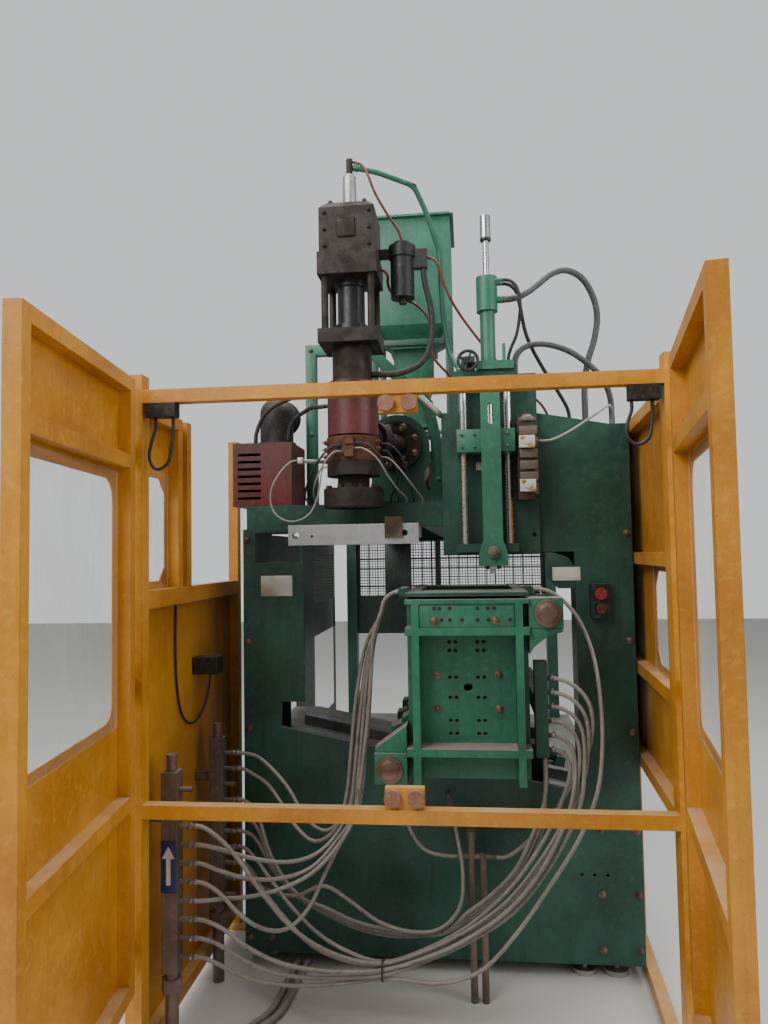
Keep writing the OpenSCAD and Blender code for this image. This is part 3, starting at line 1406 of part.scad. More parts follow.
clamp_routes = [
    concat(tip(rear_y0, 9), [[-565, 545, 788], [-500, 510, 755], [-430, 475, 695], [-365, 448, 608],
        [-295, 436, 572], [-232, 435, 635], [-205, 435, 740], [-190, 435, 870], [-170, 435, 1010],
        [-140, 435, 1175]], comb(5)),
    concat(tip(rear_y0, 8), [[-580, 550, 725], [-520, 520, 700], [-465, 480, 655], [-400, 445, 580],
        [-330, 425, 540], [-260, 418, 585], [-222, 418, 690], [-205, 418, 830], [-180, 416, 1040],
        [-140, 414, 1215]], comb(4)),
    concat(tip(front_y0, 6), [[-570, 150, 612], [-500, 180, 580], [-390, 260, 535], [-310, 330, 535],
        [-250, 380, 580], [-207, 400, 660], [-190, 401, 775], [-168, 400, 970], [-132, 395, 1180]], comb(3)),
    concat(tip(front_y0, 5), [[-570, 145, 550], [-500, 172, 520], [-415, 235, 493], [-320, 300, 503],
        [-250, 360, 563], [-195, 382, 640], [-175, 384, 770], [-152, 382, 985], [-122, 372, 1190]], comb(2)),
    concat(tip(front_y0, 3), [[-560, 162, 460], [-500, 185, 456], [-410, 230, 462], [-315, 285, 492],
        [-250, 325, 548], [-194, 343, 630], [-166, 346, 750], [-138, 346, 950],
        [-120, 336, 1130], [-110, 324, 1240]], comb(0)),
    concat(tip(front_y0, 4), [[-570, 134, 492], [-515, 142, 432], [-450, 180, 368], [-385, 235, 342],
        [-325, 285, 385], [-285, 320, 465], [-240, 345, 550], [-178, 367, 660], [-152, 369, 800],
        [-132, 364, 1000], [-114, 350, 1200]], comb(1)),
    concat(tip(front_y0, 2), [[-560, 136, 385], [-490, 155, 325], [-405, 195, 262], [-290, 240, 218],
        [-180, 275, 200], [-95, 300, 196], [25, 308, 228], [155, 315, 284], [300, 315, 385],
        [400, 315, 500], [472, 318, 630], [510, 326, 735]], at_block(1, 71)),
    concat(tip(front_y0, 1), [[-570, 138, 335], [-500, 160, 282], [-420, 200, 228], [-320, 250, 190],
        [-200, 285, 176], [-95, 300, 180], [25, 322, 212], [180, 330, 280], [320, 330, 375],
        [430, 330, 510], [510, 332, 650], [537, 336, 720], [548, 340, 800]], at_block(3, 101)),
    concat(tip(front_y0, 7), [[-570, 138, 650], [-515, 146, 590], [-440, 172, 470], [-350, 222, 340],
        [-230, 280, 245], [-95, 308, 212], [25, 338, 234], [165, 345, 300], [300, 345, 400],
        [400, 345, 520], [482, 345, 650], [516, 345, 725], [531, 345, 790]], at_block(2, 86)),
    concat(tip(rear_y0, 3), [[-570, 530, 440], [-505, 480, 395], [-420, 425, 330], [-315, 375, 265],
        [-210, 340, 228], [-95, 326, 208], [25, 354, 232], [165, 360, 305], [290, 360, 410],
        [385, 360, 530], [450, 360, 640], [483, 356, 720]], at_block(0, 56)),
    concat(tip(rear_y0, 2), [[-585, 545, 388], [-530, 490, 350], [-440, 425, 290], [-335, 375, 225],
        [-215, 345, 196], [-95, 331, 192], [30, 368, 214], [190, 375, 288], [320, 375, 392],
        [425, 375, 530], [512, 372, 680], [550, 361, 780], [562, 354, 850]], at_block(4, 116)),
    concat([[floor_pipe_x + 80 + gap, floor_pipe_y, tee_z], [floor_pipe_x + 110, floor_pipe_y, tee_z]],
        [[350, 484, 512], [420, 435, 600], [490, 400, 710], [560, 378, 840], [577, 359, 910]],
        at_block(5, 131)),
    concat(tip(front_y0, 0), [[-588, 133, 288], [-510, 162, 235], [-430, 200, 195], [-330, 245, 168],
        [-210, 288, 158], [-95, 308, 165], [-20, 304, 166], [60, 300, 162], [140, 300, 174],
        [220, 300, 212], [330, 300, 330], [430, 300, 470], [520, 300, 610], [580, 302, 750],
        [603, 320, 880], [608, 360, 1030], [590, 390, 1180], [545, 399, 1290], [485, 400, 1355]],
        [[platen_left + platen_w + 50, 400, comb_z], [platen_left + platen_w + 20 + gap, 400, comb_z]]),
];

fixed_routes = [
    [concat(tip(rear_y0, 1), [[-570, 545, 345], [-500, 500, 338], [-400, 450, 350], [-300, 425, 395],
        [-220, 420, 355], [-120, 420, 288], [-20, 420, 260], [80, 425, 268], [145, 435, 330],
        [160, 445, 440], [140, 490, 560]], [[115, front_y - 55, 632], [110, front_y - 25 - gap, 640]]), hose_r],
    [[[floor_pipe_x - 45 - gap, floor_pipe_y, tee_z], [110, floor_pipe_y, tee_z], [30, 502, 495],
        [-22, 525, 560], [-44, 580, 625], [-45, front_y - 25 - gap, 640]], hose_r],
    [[[-193 + gap, 580, 2951], [-173, 578, 2946], [-153, 572, 2929], [-138, 568, 2900], [-112, 576, 2830], [-62, 596, 2742],
        [-30, 613, 2696],
        [filter_x, filter_y, filter_z + 210 + gap]], 5],
    [[[filter_x + 93 + gap, filter_y, filter_z + 150], [95, 621, 2584], [112, 626, 2566], [124, 634, 2532], [141, 647, 2478], [175, 665, 2410],
        [255, 700, 2300], [335, 730, 2205], [410, 760, 2120], [490, 790, 2060], [520, 800, 1988 + gap]], 5],
    [[[-98 + gap, 600, 2545], [-84, 601, 2541], [-73, 607, 2527], [-74, 628, 2505], [-68, 656, 2486], [-44, 680, 2470],
        [-14, 688, 2458], [25, 688, 2438],
        [70, 692, 2385], [82, 700, 2310], [84, 702, 2245], [135, 735, 2185], [205, 775, 2125],
        [320, 795, 2070], [420, 800, 2040], [452, 800, 1992 + gap]], 5],
    [[[60, filter_y, filter_z + 110 - gap], [64, filter_y, 2500], [84, 622, 2400], [84, 620, 2290],
        [52, 605, 2200], [-20, 588, 2158], [head_x + 95 + gap, close_y, lower_plate_z - 100]], 11],
    [[[port_x + gap, 580, 2405], [392, 584, 2411], [436, 597, 2434], [481, 618, 2472], [530, 645, 2515],
        [585, 680, 2535], [640, 712, 2518], [682, 740, 2465], [704, 762, 2390], [694, 778, 2300],
        [668, 790, 2215], [655, 798, 2120], [655, 800, 2040], [655, 800, 1980 + gap]], 12],
    [[[elbow_x, front_y - back_t / 2, blow_top_z + 25 + gap], [390, 640, 2210], [411, 647, 2239],
        [443, 655, 2255], [480, 664, 2260], [525, 680, 2257], [590, 705, 2238], [650, 737, 2205],
        [708, 772, 2160], [750, 820, 2095], [762, 848, 2020], [762, 850, 1965 + gap]], 11],
    [[[port_x + gap, 600, 2470], [372, 602, 2464], [392, 607, 2446], [404, 619, 2410], [432, 660, 2290],
        [495, 720, 2180], [562, 772, 2085], [592, 797, 2030], [595, 800, 1985 + gap]], 7],
    [[[port_x + gap, 560, 2470], [370, 558, 2465], [389, 554, 2447], [399, 551, 2418], [404, 553, 2375],
        [401, 573, 2330], [390, 584, 2275], [368, 597, 2225], [blow_x + 72, blow_y + 20, cyl_z0 + 45 + gap]], 6],
    [[[blow_x + 166 + gap, 580, 1890], [500, 586, 1892], [565, 608, 1922], [625, 628, 1960], [680, 640, 1998],
        [722, 675, 2025], [742, 730, 2005], [742, 760, 1965 + gap]], 5],
    [[[-610, 730, deck_top + 245 + gap], [-607, 728, 1975], [-560, 712, 2055], [-465, 690, 2098],
        [-405, 658, 2103], [-368, 626, 2098], [-334, 603, 2086], [head_x - head_r - 10 - gap, close_y + 18, cover_z + 155]], 8],
    [[[-480, 728, deck_top + 245 + gap], [-473, 725, 1990], [-446, 709, 2026], [-402, 677, 2045],
        [-364, 630, 2050], [-330, 603, 2045], [head_x - head_r - 10 - gap, close_y + 18, cover_z + 120]], 8],
];

module clamp_hoses() {
    color([0.45, 0.41, 0.40]) place() for (route = clamp_routes) tube(route, hose_r);
}

module fixed_hoses() {
    color([0.20, 0.19, 0.19]) place() for (h = fixed_routes) tube(h[0], h[1]);
}

base_frame();
levelling_feet();
front_plate();
left_column();
tower_frame();
extruder_deck();
rear_guard();
bed_rails();
switch_box();
stop_button();
start_button();
extruder_barrel();
barrel_heaters();
extruder_screw();
gearbox();
extruder_motor();
hopper_gate();
hopper();
melt_adapter();
head_body();
head_cover();
band_heaters();
die_flange();
head_yoke();
programming_cylinder();
actuator_block();
mandrel_rod();
cutter_rail();
cutter_arm();
blower_box();
blower_duct();
air_filter();
blow_backplate();
blow_guides();
blow_cylinder();
blow_carrier();
blow_pin();
blow_valves();
handwheel();
carriage_frame();
shift_cylinder();
front_platen();
tie_bars();
clamp_cylinder();
front_mould();
rear_platen();
rear_mould();
guard_frame();
left_wing();
right_wing();
wing_panes();
door_buffers();
guard_switches();
left_door();
left_door_pane();
right_door();
right_door_pane();
water_manifolds();
clamp_hoses();
fixed_hoses();
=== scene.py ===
"""Looks of the blow moulding machine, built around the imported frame."""

import math
import json

import bpy
import bmesh
from mathutils import Matrix, Vector


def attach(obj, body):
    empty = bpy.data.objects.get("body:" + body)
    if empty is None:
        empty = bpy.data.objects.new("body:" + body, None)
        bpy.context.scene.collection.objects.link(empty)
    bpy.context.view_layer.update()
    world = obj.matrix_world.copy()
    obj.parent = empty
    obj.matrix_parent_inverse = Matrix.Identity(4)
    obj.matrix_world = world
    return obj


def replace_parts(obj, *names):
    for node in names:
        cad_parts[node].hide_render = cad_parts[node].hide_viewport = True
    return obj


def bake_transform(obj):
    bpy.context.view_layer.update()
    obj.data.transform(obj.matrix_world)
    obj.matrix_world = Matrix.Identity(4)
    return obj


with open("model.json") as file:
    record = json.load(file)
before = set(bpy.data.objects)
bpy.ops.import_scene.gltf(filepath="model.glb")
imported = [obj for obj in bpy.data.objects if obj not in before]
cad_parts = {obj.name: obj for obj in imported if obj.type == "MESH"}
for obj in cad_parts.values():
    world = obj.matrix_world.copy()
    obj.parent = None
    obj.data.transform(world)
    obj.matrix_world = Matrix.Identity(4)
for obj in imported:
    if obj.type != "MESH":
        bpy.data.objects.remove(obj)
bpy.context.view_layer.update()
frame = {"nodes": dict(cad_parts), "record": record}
NODES = frame["nodes"]
scene = bpy.context.scene

# The guard's own frame, in which the places below are given, starts at this y of the shared frame, in metres
Y_SHIFT = -1.05002


def at(x, y, z):
    """A point of the guard's own frame, in millimetres, as a point of the shared frame in metres."""
    return Vector((x / 1000, y / 1000 + Y_SHIFT, z / 1000))


# Camera

CAMERA_PLACE = (205.8, -2172.2, 1500)
CAMERA_LENS = 27.07
TURN_LEFT, TIP_UP, ROLL = 6.28, 3.11, 0.947


def add_camera():
    """The photograph's camera: turned to the left, tipped up and rolled a little, in degrees."""
    yaw, pitch, roll = (math.radians(angle) for angle in (TURN_LEFT, TIP_UP, ROLL))
    forward = Vector((-math.sin(yaw) * math.cos(pitch), math.cos(yaw) * math.cos(pitch), math.sin(pitch)))
    right = Vector((math.cos(yaw), math.sin(yaw), 0))
    up = right.cross(forward)
    side = right * math.cos(roll) - up * math.sin(roll)
    top = right * math.sin(roll) + up * math.cos(roll)
    turn = Matrix((side, top, -forward)).transposed()
    camera = bpy.data.objects.new("camera", bpy.data.cameras.new("camera"))
    camera.data.lens = CAMERA_LENS
    camera.data.clip_end = 60
    camera.matrix_world = Matrix.Translation(at(*CAMERA_PLACE)) @ turn.to_4x4()
    scene.collection.objects.link(camera)
    scene.camera = camera


add_camera()


# Materials: lengths in metres, noise scales in features per metre, colours from 0 to 255

EDGE_RADIUS = 0.0035
ROUND_RADIUS = 0.0022
BEVEL_SAMPLES = 3
CLOUDS, PATCHES, SPOTS, PORES, SPECKS, GRIT = 3.2, 9, 46, 90, 150, 260
RUN_STRETCH = (26, 26, 1.6)
WIPE_STRETCH = (30, 30, 3)
PANE_IOR = 1.49


class Graph:
    """Short calls for the nodes of one material."""

    def __init__(self, name):
        self.material = bpy.data.materials.new(name)
        self.material.use_nodes = True
        self.tree = self.material.node_tree
        self.tree.nodes.clear()
        self.where = self.node("ShaderNodeTexCoord").outputs["Object"]

    def node(self, kind, **inputs):
        made = self.tree.nodes.new(kind)
        for key, value in inputs.items():
            if hasattr(made, key):
                setattr(made, key, value)
            else:
                self.put(made.inputs[key.replace("_", " ")], value)
        return made

    def put(self, socket, value):
        if isinstance(value, bpy.types.NodeSocket):
            self.tree.links.new(value, socket)
        else:
            socket.default_value = value

    def stretch(self, scale):
        return self.node("ShaderNodeMapping", Vector=self.where, Scale=scale).outputs[0]

    def noise(self, scale, detail, where=None, rough=0.55, warp=0.0):
        made = self.node("ShaderNodeTexNoise", Scale=scale, Detail=detail, Roughness=rough, Distortion=warp)
        self.put(made.inputs["Vector"], where or self.where)
        return made.outputs[0]

    def between(self, value, low, high, to_low=0.0, to_high=1.0):
        made = self.node("ShaderNodeMapRange")
        made.clamp = True
        for key, item in (("Value", value), ("From Min", low), ("From Max", high),
                          ("To Min", to_low), ("To Max", to_high)):
            self.put(made.inputs[key], item)
        return made.outputs[0]

    def maths(self, how, a, b):
        made = self.node("ShaderNodeMath", operation=how)
        self.put(made.inputs[0], a)
        self.put(made.inputs[1], b)
        return made.outputs[0]

    def mix(self, share, a, b):
        made = self.node("ShaderNodeMix", data_type="RGBA", blend_type="MIX")
        for key, item in ((0, share), (6, a), (7, b)):
            self.put(made.inputs[key], item)
        return made.outputs[2]

    def facing_up(self, low=0.35, high=0.9):
        """1 where a face looks up, 0 where it stands."""
        normal = self.node("ShaderNodeNewGeometry").outputs["Normal"]
        split = self.node("ShaderNodeSeparateXYZ", Vector=normal)
        return self.between(split.outputs[2], low, high)

    def bevel(self, radius):
        made = self.node("ShaderNodeBevel", Radius=radius)
        made.samples = BEVEL_SAMPLES
        return made.outputs[0]

    def edges(self):
        """1 along sharp edges, 0 on flat faces."""
        bent = self.bevel(EDGE_RADIUS)
        normal = self.node("ShaderNodeNewGeometry").outputs["True Normal"]
        product = self.node("ShaderNodeVectorMath", operation="DOT_PRODUCT")
        self.put(product.inputs[0], bent)
        self.put(product.inputs[1], normal)
        return self.between(product.outputs["Value"], 0.995, 0.86)

    def finish(self, colour, rough, metal=0.0, bump=None, depth=0.0, **more):
        shader = self.node("ShaderNodeBsdfPrincipled")
        self.put(shader.inputs["Base Color"], colour)
        self.put(shader.inputs["Roughness"], rough)
        self.put(shader.inputs["Metallic"], metal)
        for key, value in more.items():
            self.put(shader.inputs[key.replace("_", " ")], value)
        if bump is not None:
            bumped = self.node("ShaderNodeBump", Height=bump, Strength=1.0, Distance=depth,
                               Normal=self.bevel(ROUND_RADIUS))
            self.put(shader.inputs["Normal"], bumped.outputs[0])
        out = self.node("ShaderNodeOutputMaterial")
        self.tree.links.new(shader.outputs[0], out.inputs[0])
        return self.material


def rgb(*shown):
    """A colour given in 0 to 255 as it looks on the screen."""
    def linear(c):
        c /= 255
        return c / 12.92 if c <= 0.04045 else ((c + 0.055) / 1.055) ** 2.4
    return tuple(linear(c) for c in shown) + (1.0,)


def darker(colour, share):
    return tuple(share * c for c in rgb(*colour)[:3]) + (1,)


def enamel(name, base, dark, pale, dust=(150, 142, 130), dusty=0.5, streaks=0.4, chips=0.35,
           under=(96, 78, 62), rough=0.42, full=0.2):
    """Machine paint: cloudy colour, run-down grime, dust that lies on top, chipped edges.

    full is the share of the dust that lies even where it is thinnest."""
    g = Graph(name)
    cloud = g.noise(CLOUDS, 6)
    fine = g.noise(SPOTS, 6, rough=0.65)
    colour = g.mix(g.between(cloud, 0.38, 0.68), rgb(*dark), rgb(*base))
    colour = g.mix(g.between(fine, 0.52, 0.78, 0, 0.45), colour, rgb(*pale))
    runs = g.noise(1.0, 5, g.stretch(RUN_STRETCH), 0.6, 0.6)
    grime = g.between(runs, 0.53, 0.74, 0, streaks)
    colour = g.mix(grime, colour, darker(dark, 0.32))
    speck = g.noise(SPECKS, 3)
    colour = g.mix(g.between(speck, 0.62, 0.72, 0, 0.35), colour, rgb(*under))
    worn = g.maths("MULTIPLY", g.edges(), g.between(g.noise(22, 5), 0.44, 0.62))
    colour = g.mix(g.maths("MULTIPLY", worn, chips), colour, rgb(*under))
    lying = g.maths("MULTIPLY", g.facing_up(), g.between(g.noise(PATCHES, 6), 0.30, 0.62, full, 1.0))
    lying = g.maths("MULTIPLY", lying, dusty)
    colour = g.mix(lying, colour, rgb(*dust))
    roughness = g.between(fine, 0.3, 0.75, rough - 0.07, rough + 0.16)
    roughness = g.maths("ADD", roughness, g.maths("MULTIPLY", lying, 0.3))
    bump = g.maths("ADD", g.maths("MULTIPLY", g.noise(GRIT, 2), 0.35), cloud)
    return g.finish(colour, roughness, bump=bump, depth=0.0006)


def steel(name, base, stain, rough, metal=1.0, stains=0.5, grain=(60, 60, 400), oil=None):
    """Bare metal: brushed grain, stains and a little rust or oil."""
    g = Graph(name)
    lines = g.noise(1.0, 3, g.stretch(grain), 0.6)
    cloud = g.noise(14, 6, rough=0.6)
    colour = g.mix(g.between(cloud, 0.45, 0.70, 0, stains), rgb(*base), rgb(*stain))
    if oil:
        colour = g.mix(g.between(g.noise(5, 5, warp=1.0), 0.5, 0.66, 0, 0.7), colour, rgb(*oil))
    roughness = g.between(g.maths("ADD", g.maths("MULTIPLY", lines, 0.5), g.maths("MULTIPLY", cloud, 0.5)),
                          0.35, 0.65, rough - 0.1, rough + 0.2)
    return g.finish(colour, roughness, metal, lines, 0.00025)


def rubbery(name, base, dust, rough, dusty, mark=None):
    """Rubber, hose and plastic: fine pores with dust on top, and marks if a colour is given for them."""
    g = Graph(name)
    fine = g.noise(PORES, 5)
    cloud = g.noise(8, 5)
    colour = g.mix(g.between(cloud, 0.35, 0.7), rgb(*base), darker(base, 0.62))
    colour = g.mix(g.between(fine, 0.5, 0.75, 0, 0.4), colour, rgb(*dust))
    if mark:
        colour = g.mix(g.between(g.noise(20, 4), 0.6, 0.66, 0, 0.6), colour, rgb(*mark))
    lying = g.maths("MULTIPLY", g.facing_up(0.1, 0.95), g.between(cloud, 0.3, 0.6, 0.3, dusty))
    colour = g.mix(lying, colour, rgb(*dust))
    return g.finish(colour, g.between(fine, 0.3, 0.7, rough - 0.12, rough + 0.12), 0.0, fine, 0.0003)


def clear_sheet(name):
    """The guard's clear sheets: thin, with a film of dust and wiped scratches."""
    g = Graph(name)
    film = g.noise(3.0, 7, rough=0.65)
    wipes = g.noise(1.0, 4, g.stretch(WIPE_STRETCH), 0.6, 1.5)
    dirt = g.maths("ADD", g.maths("MULTIPLY", film, 0.7), g.maths("MULTIPLY", wipes, 0.3))
    haze = g.between(dirt, 0.40, 0.72, 0.05, 0.24)
    return g.finish(rgb(214, 216, 208), g.between(wipes, 0.3, 0.7, 0.06, 0.2), Alpha=haze, IOR=PANE_IOR)


M = {
    # The frame's green is a darker copy of the lit hopper and clamp greens: the difference is painted shade of
    # the shadowed frame
    "green_paint": enamel("m_green_painted_shade", (34, 84, 68), (18, 56, 46), (58, 102, 84), dust=(142, 128, 122),
                          dusty=0.7, full=0.4),
    "clamp_green": enamel("m_clamp_green", (44, 120, 90), (30, 92, 70), (78, 140, 112), dusty=0.95,
                          dust=(168, 144, 140), chips=0.6, full=0.7),
    "light_green_paint": enamel("m_light_green", (52, 118, 92), (34, 90, 70), (82, 140, 114), dusty=0.6),
    "guard_paint": enamel("m_guard", (208, 146, 44), (178, 114, 28), (224, 170, 78), dust=(190, 176, 150),
                          dusty=0.5, streaks=0.22, under=(92, 60, 34), rough=0.36),
    "dark_red_paint": enamel("m_dark_red", (98, 34, 30), (60, 22, 20), (128, 60, 50), dusty=0.5, streaks=0.5),
    "blue_grey_paint": enamel("m_blue_grey", (70, 92, 100), (48, 66, 74), (104, 122, 126)),
    "brown_paint": enamel("m_brown", (78, 62, 50), (50, 40, 34), (110, 94, 80)),
    "dull_brown": enamel("m_dull_brown", (122, 104, 92), (84, 70, 62), (156, 138, 128), dusty=0.5),
    # The rear guard's and side panels' dark green: partly their own green, partly painted shade of the
    # machine's inside
    "dark_mesh": enamel("m_mesh_painted_shade", (40, 56, 48), (24, 36, 32), (70, 84, 74)),
    "black_steel": enamel("m_black_steel", (36, 36, 38), (20, 20, 22), (70, 68, 66), under=(120, 112, 104),
                          rough=0.38),
    "pale_metal": steel("m_pale_metal", (186, 186, 178), (130, 124, 112), 0.45),
    "worn_steel": steel("m_worn_steel", (150, 150, 146), (92, 80, 68), 0.34),
    "bright_steel": steel("m_bright_steel", (196, 198, 200), (140, 134, 126), 0.18, stains=0.25),
    "brown_steel": steel("m_brown_steel", (132, 112, 98), (78, 58, 46), 0.36, oil=(60, 46, 38)),
    "alloy": steel("m_alloy", (190, 192, 192), (138, 136, 132), 0.34, stains=0.35, grain=(300, 60, 60)),
    "burnt_steel": steel("m_burnt", (62, 54, 50), (34, 26, 24), 0.55, 0.6, 0.8, oil=(24, 18, 18)),
    "heater_band": steel("m_heater", (140, 128, 112), (84, 62, 46), 0.42, stains=0.7),
    "rusty_band": steel("m_rusty", (104, 74, 56), (58, 34, 24), 0.6, 0.7, 0.9, oil=(40, 26, 22)),
    "black_plastic": rubbery("m_black_plastic", (26, 26, 28), (96, 92, 86), 0.5, 0.35),
    "red_plastic": rubbery("m_red_plastic", (150, 34, 30), (120, 96, 88), 0.34, 0.3),
    "dark_red_plastic": rubbery("m_dark_red_plastic", (92, 26, 28), (110, 92, 86), 0.4, 0.3),
    "black_rubber": rubbery("m_black_rubber", (34, 33, 33), (104, 98, 92), 0.6, 0.5),
    "brown_rubber": rubbery("m_brown_rubber", (150, 104, 80), (170, 150, 136), 0.7, 0.5),
    "grey_hose": rubbery("m_grey_hose", (138, 133, 126), (176, 170, 162), 0.5, 0.5, mark=(92, 84, 76)),
    "clear_pane": clear_sheet("m_clear_pane"),
    "red_hose": rubbery("m_red_hose", (120, 44, 40), (150, 120, 110), 0.5, 0.4),
    "grey_rubber": rubbery("m_grey_rubber", (70, 76, 76), (120, 116, 110), 0.5, 0.5),
    "pale_cable": rubbery("m_pale_cable", (150, 150, 140), (180, 174, 164), 0.5, 0.5),
    "yellow_plastic": rubbery("m_yellow_plastic", (196, 160, 40), (190, 176, 150), 0.4, 0.3),
    "blue_plate": enamel("m_blue_plate", (34, 52, 112), (26, 40, 92), (70, 86, 140), dusty=0.2, streaks=0.3,
                         chips=0.2),
    "white_plate": enamel("m_white_plate", (214, 214, 206), (190, 188, 178), (228, 228, 222), dusty=0.2,
                          streaks=0.35, chips=0.2),
}

# The nodes whose finish differs from their slot's; the rear guard's dark green is partly painted shade
OWN_FINISH = {"extruder_barrel": "burnt_steel", "cutter_arm": "brown_steel", "rear_guard": "dark_mesh"}
for part in frame["record"]["subparts"]:
    shown = NODES[part["node"]]
    shown.data.materials.clear()
    shown.data.materials.append(M[OWN_FINISH.get(part["node"], part["material_slot"])])


# Cords: the routes of the source, in millimetres

FRONT_PIPE, REAR_PIPE = 130, 560
NIPPLE_TIP, NIPPLE_OUT, NIPPLE_LOW, NIPPLE_PITCH = -646.7, -622, 300, 55
COMB = (-23.8, 320, 1376)
COMB_BEND, COMB_PITCH = 58, 23
PLACES = range(6)
BLOCK_X, BLOCK_Y = 449.8, 345
BLOCK_ZS = [872 + 45 * i for i in PLACES]
QUARTER = [math.radians(angle) for angle in (0, 30, 60, 90)]


def nipple_z(i):
    return NIPPLE_LOW + NIPPLE_PITCH * i


def tip(y, i):
    """The start of a hose: straight out of nipple i of the pipe at y."""
    return [(NIPPLE_TIP, y, nipple_z(i)), (NIPPLE_OUT, y, nipple_z(i))]


def comb(i):
    """The quarter turn by which a hose comes up into place i of the comb."""
    return [(COMB[0] - COMB_BEND * math.cos(a), COMB[1] + COMB_PITCH * i,
             COMB[2] - COMB_BEND * (1 - math.sin(a))) for a in QUARTER]


def at_block(i, bend):
    """The quarter turn by which a hose comes up into place i of the block."""
    return [(BLOCK_X + bend * math.cos(a), BLOCK_Y, BLOCK_ZS[i] - bend * (1 - math.sin(a))) for a in QUARTER]


CLAMP_ROUTES = [
    tip(REAR_PIPE, 9) + [(-565, 545, 788), (-500, 510, 755), (-430, 475, 695), (-365, 448, 608),
        (-295, 436, 572), (-232, 435, 635), (-205, 435, 740), (-190, 435, 870), (-170, 435, 1010),
        (-140, 435, 1175)] + comb(5),
    tip(REAR_PIPE, 8) + [(-580, 550, 725), (-520, 520, 700), (-465, 480, 655), (-400, 445, 580),
        (-330, 425, 540), (-260, 418, 585), (-222, 418, 690), (-205, 418, 830), (-180, 416, 1040),
        (-140, 414, 1215)] + comb(4),
    tip(FRONT_PIPE, 6) + [(-570, 150, 612), (-500, 180, 580), (-390, 260, 535), (-310, 330, 535),
        (-250, 380, 580), (-207, 400, 660), (-190, 401, 775), (-168, 400, 970), (-132, 395, 1180)] + comb(3),
    tip(FRONT_PIPE, 5) + [(-570, 145, 550), (-500, 172, 520), (-415, 235, 493), (-320, 300, 503),
        (-250, 360, 563), (-195, 382, 640), (-175, 384, 770), (-152, 382, 985), (-122, 372, 1190)] + comb(2),
    tip(FRONT_PIPE, 3) + [(-560, 162, 460), (-500, 185, 456), (-410, 230, 462), (-315, 285, 492),
        (-250, 325, 548), (-194, 343, 630), (-166, 346, 750), (-138, 346, 950),
        (-120, 336, 1130), (-110, 324, 1240)] + comb(0),
    tip(FRONT_PIPE, 4) + [(-570, 134, 492), (-515, 142, 432), (-450, 180, 368), (-385, 235, 342),
        (-325, 285, 385), (-285, 320, 465), (-240, 345, 550), (-178, 367, 660), (-152, 369, 800),
        (-132, 364, 1000), (-114, 350, 1200)] + comb(1),
    tip(FRONT_PIPE, 2) + [(-560, 136, 385), (-490, 155, 325), (-405, 195, 262), (-290, 240, 218),
        (-180, 275, 200), (-95, 300, 196), (25, 308, 228), (155, 315, 284), (300, 315, 385),
        (400, 315, 500), (472, 318, 630), (510, 326, 735)] + at_block(1, 71),
    tip(FRONT_PIPE, 1) + [(-570, 138, 335), (-500, 160, 282), (-420, 200, 228), (-320, 250, 190),
        (-200, 285, 176), (-95, 300, 180), (25, 322, 212), (180, 330, 280), (320, 330, 375),
        (430, 330, 510), (510, 332, 650), (537, 336, 720), (548, 340, 800)] + at_block(3, 101),
    tip(FRONT_PIPE, 7) + [(-570, 138, 650), (-515, 146, 590), (-440, 172, 470), (-350, 222, 340),
        (-230, 280, 245), (-95, 308, 212), (25, 338, 234), (165, 345, 300), (300, 345, 400),
        (400, 345, 520), (482, 345, 650), (516, 345, 725), (531, 345, 790)] + at_block(2, 86),
    tip(REAR_PIPE, 3) + [(-570, 530, 440), (-505, 480, 395), (-420, 425, 330), (-315, 375, 265),
        (-210, 340, 228), (-95, 326, 208), (25, 354, 232), (165, 360, 305), (290, 360, 410),
        (385, 360, 530), (450, 360, 640), (483, 356, 720)] + at_block(0, 56),
    tip(REAR_PIPE, 2) + [(-585, 545, 388), (-530, 490, 350), (-440, 425, 290), (-335, 375, 225),
        (-215, 345, 196), (-95, 331, 192), (30, 368, 214), (190, 375, 288), (320, 375, 392),
        (425, 375, 530), (512, 372, 680), (550, 361, 780), (562, 354, 850)] + at_block(4, 116),
    [(270.3, 500, 475), (300, 500, 475), (350, 484, 512), (420, 435, 600), (490, 400, 710),
        (560, 378, 840), (577, 359, 910)] + at_block(5, 131),
    tip(FRONT_PIPE, 0) + [(-588, 133, 288), (-510, 162, 235), (-430, 200, 195), (-330, 245, 168),
        (-210, 288, 158), (-95, 308, 165), (-20, 304, 166), (60, 300, 162), (140, 300, 174),
        (220, 300, 212), (330, 300, 330), (430, 300, 470), (520, 300, 610), (580, 302, 750),
        (603, 320, 880), (608, 360, 1030), (590, 390, 1180), (545, 399, 1290), (485, 400, 1355),
        (435.5, 400, 1376), (405.8, 400, 1376)],
]

WATER_RADIUS = 6.5

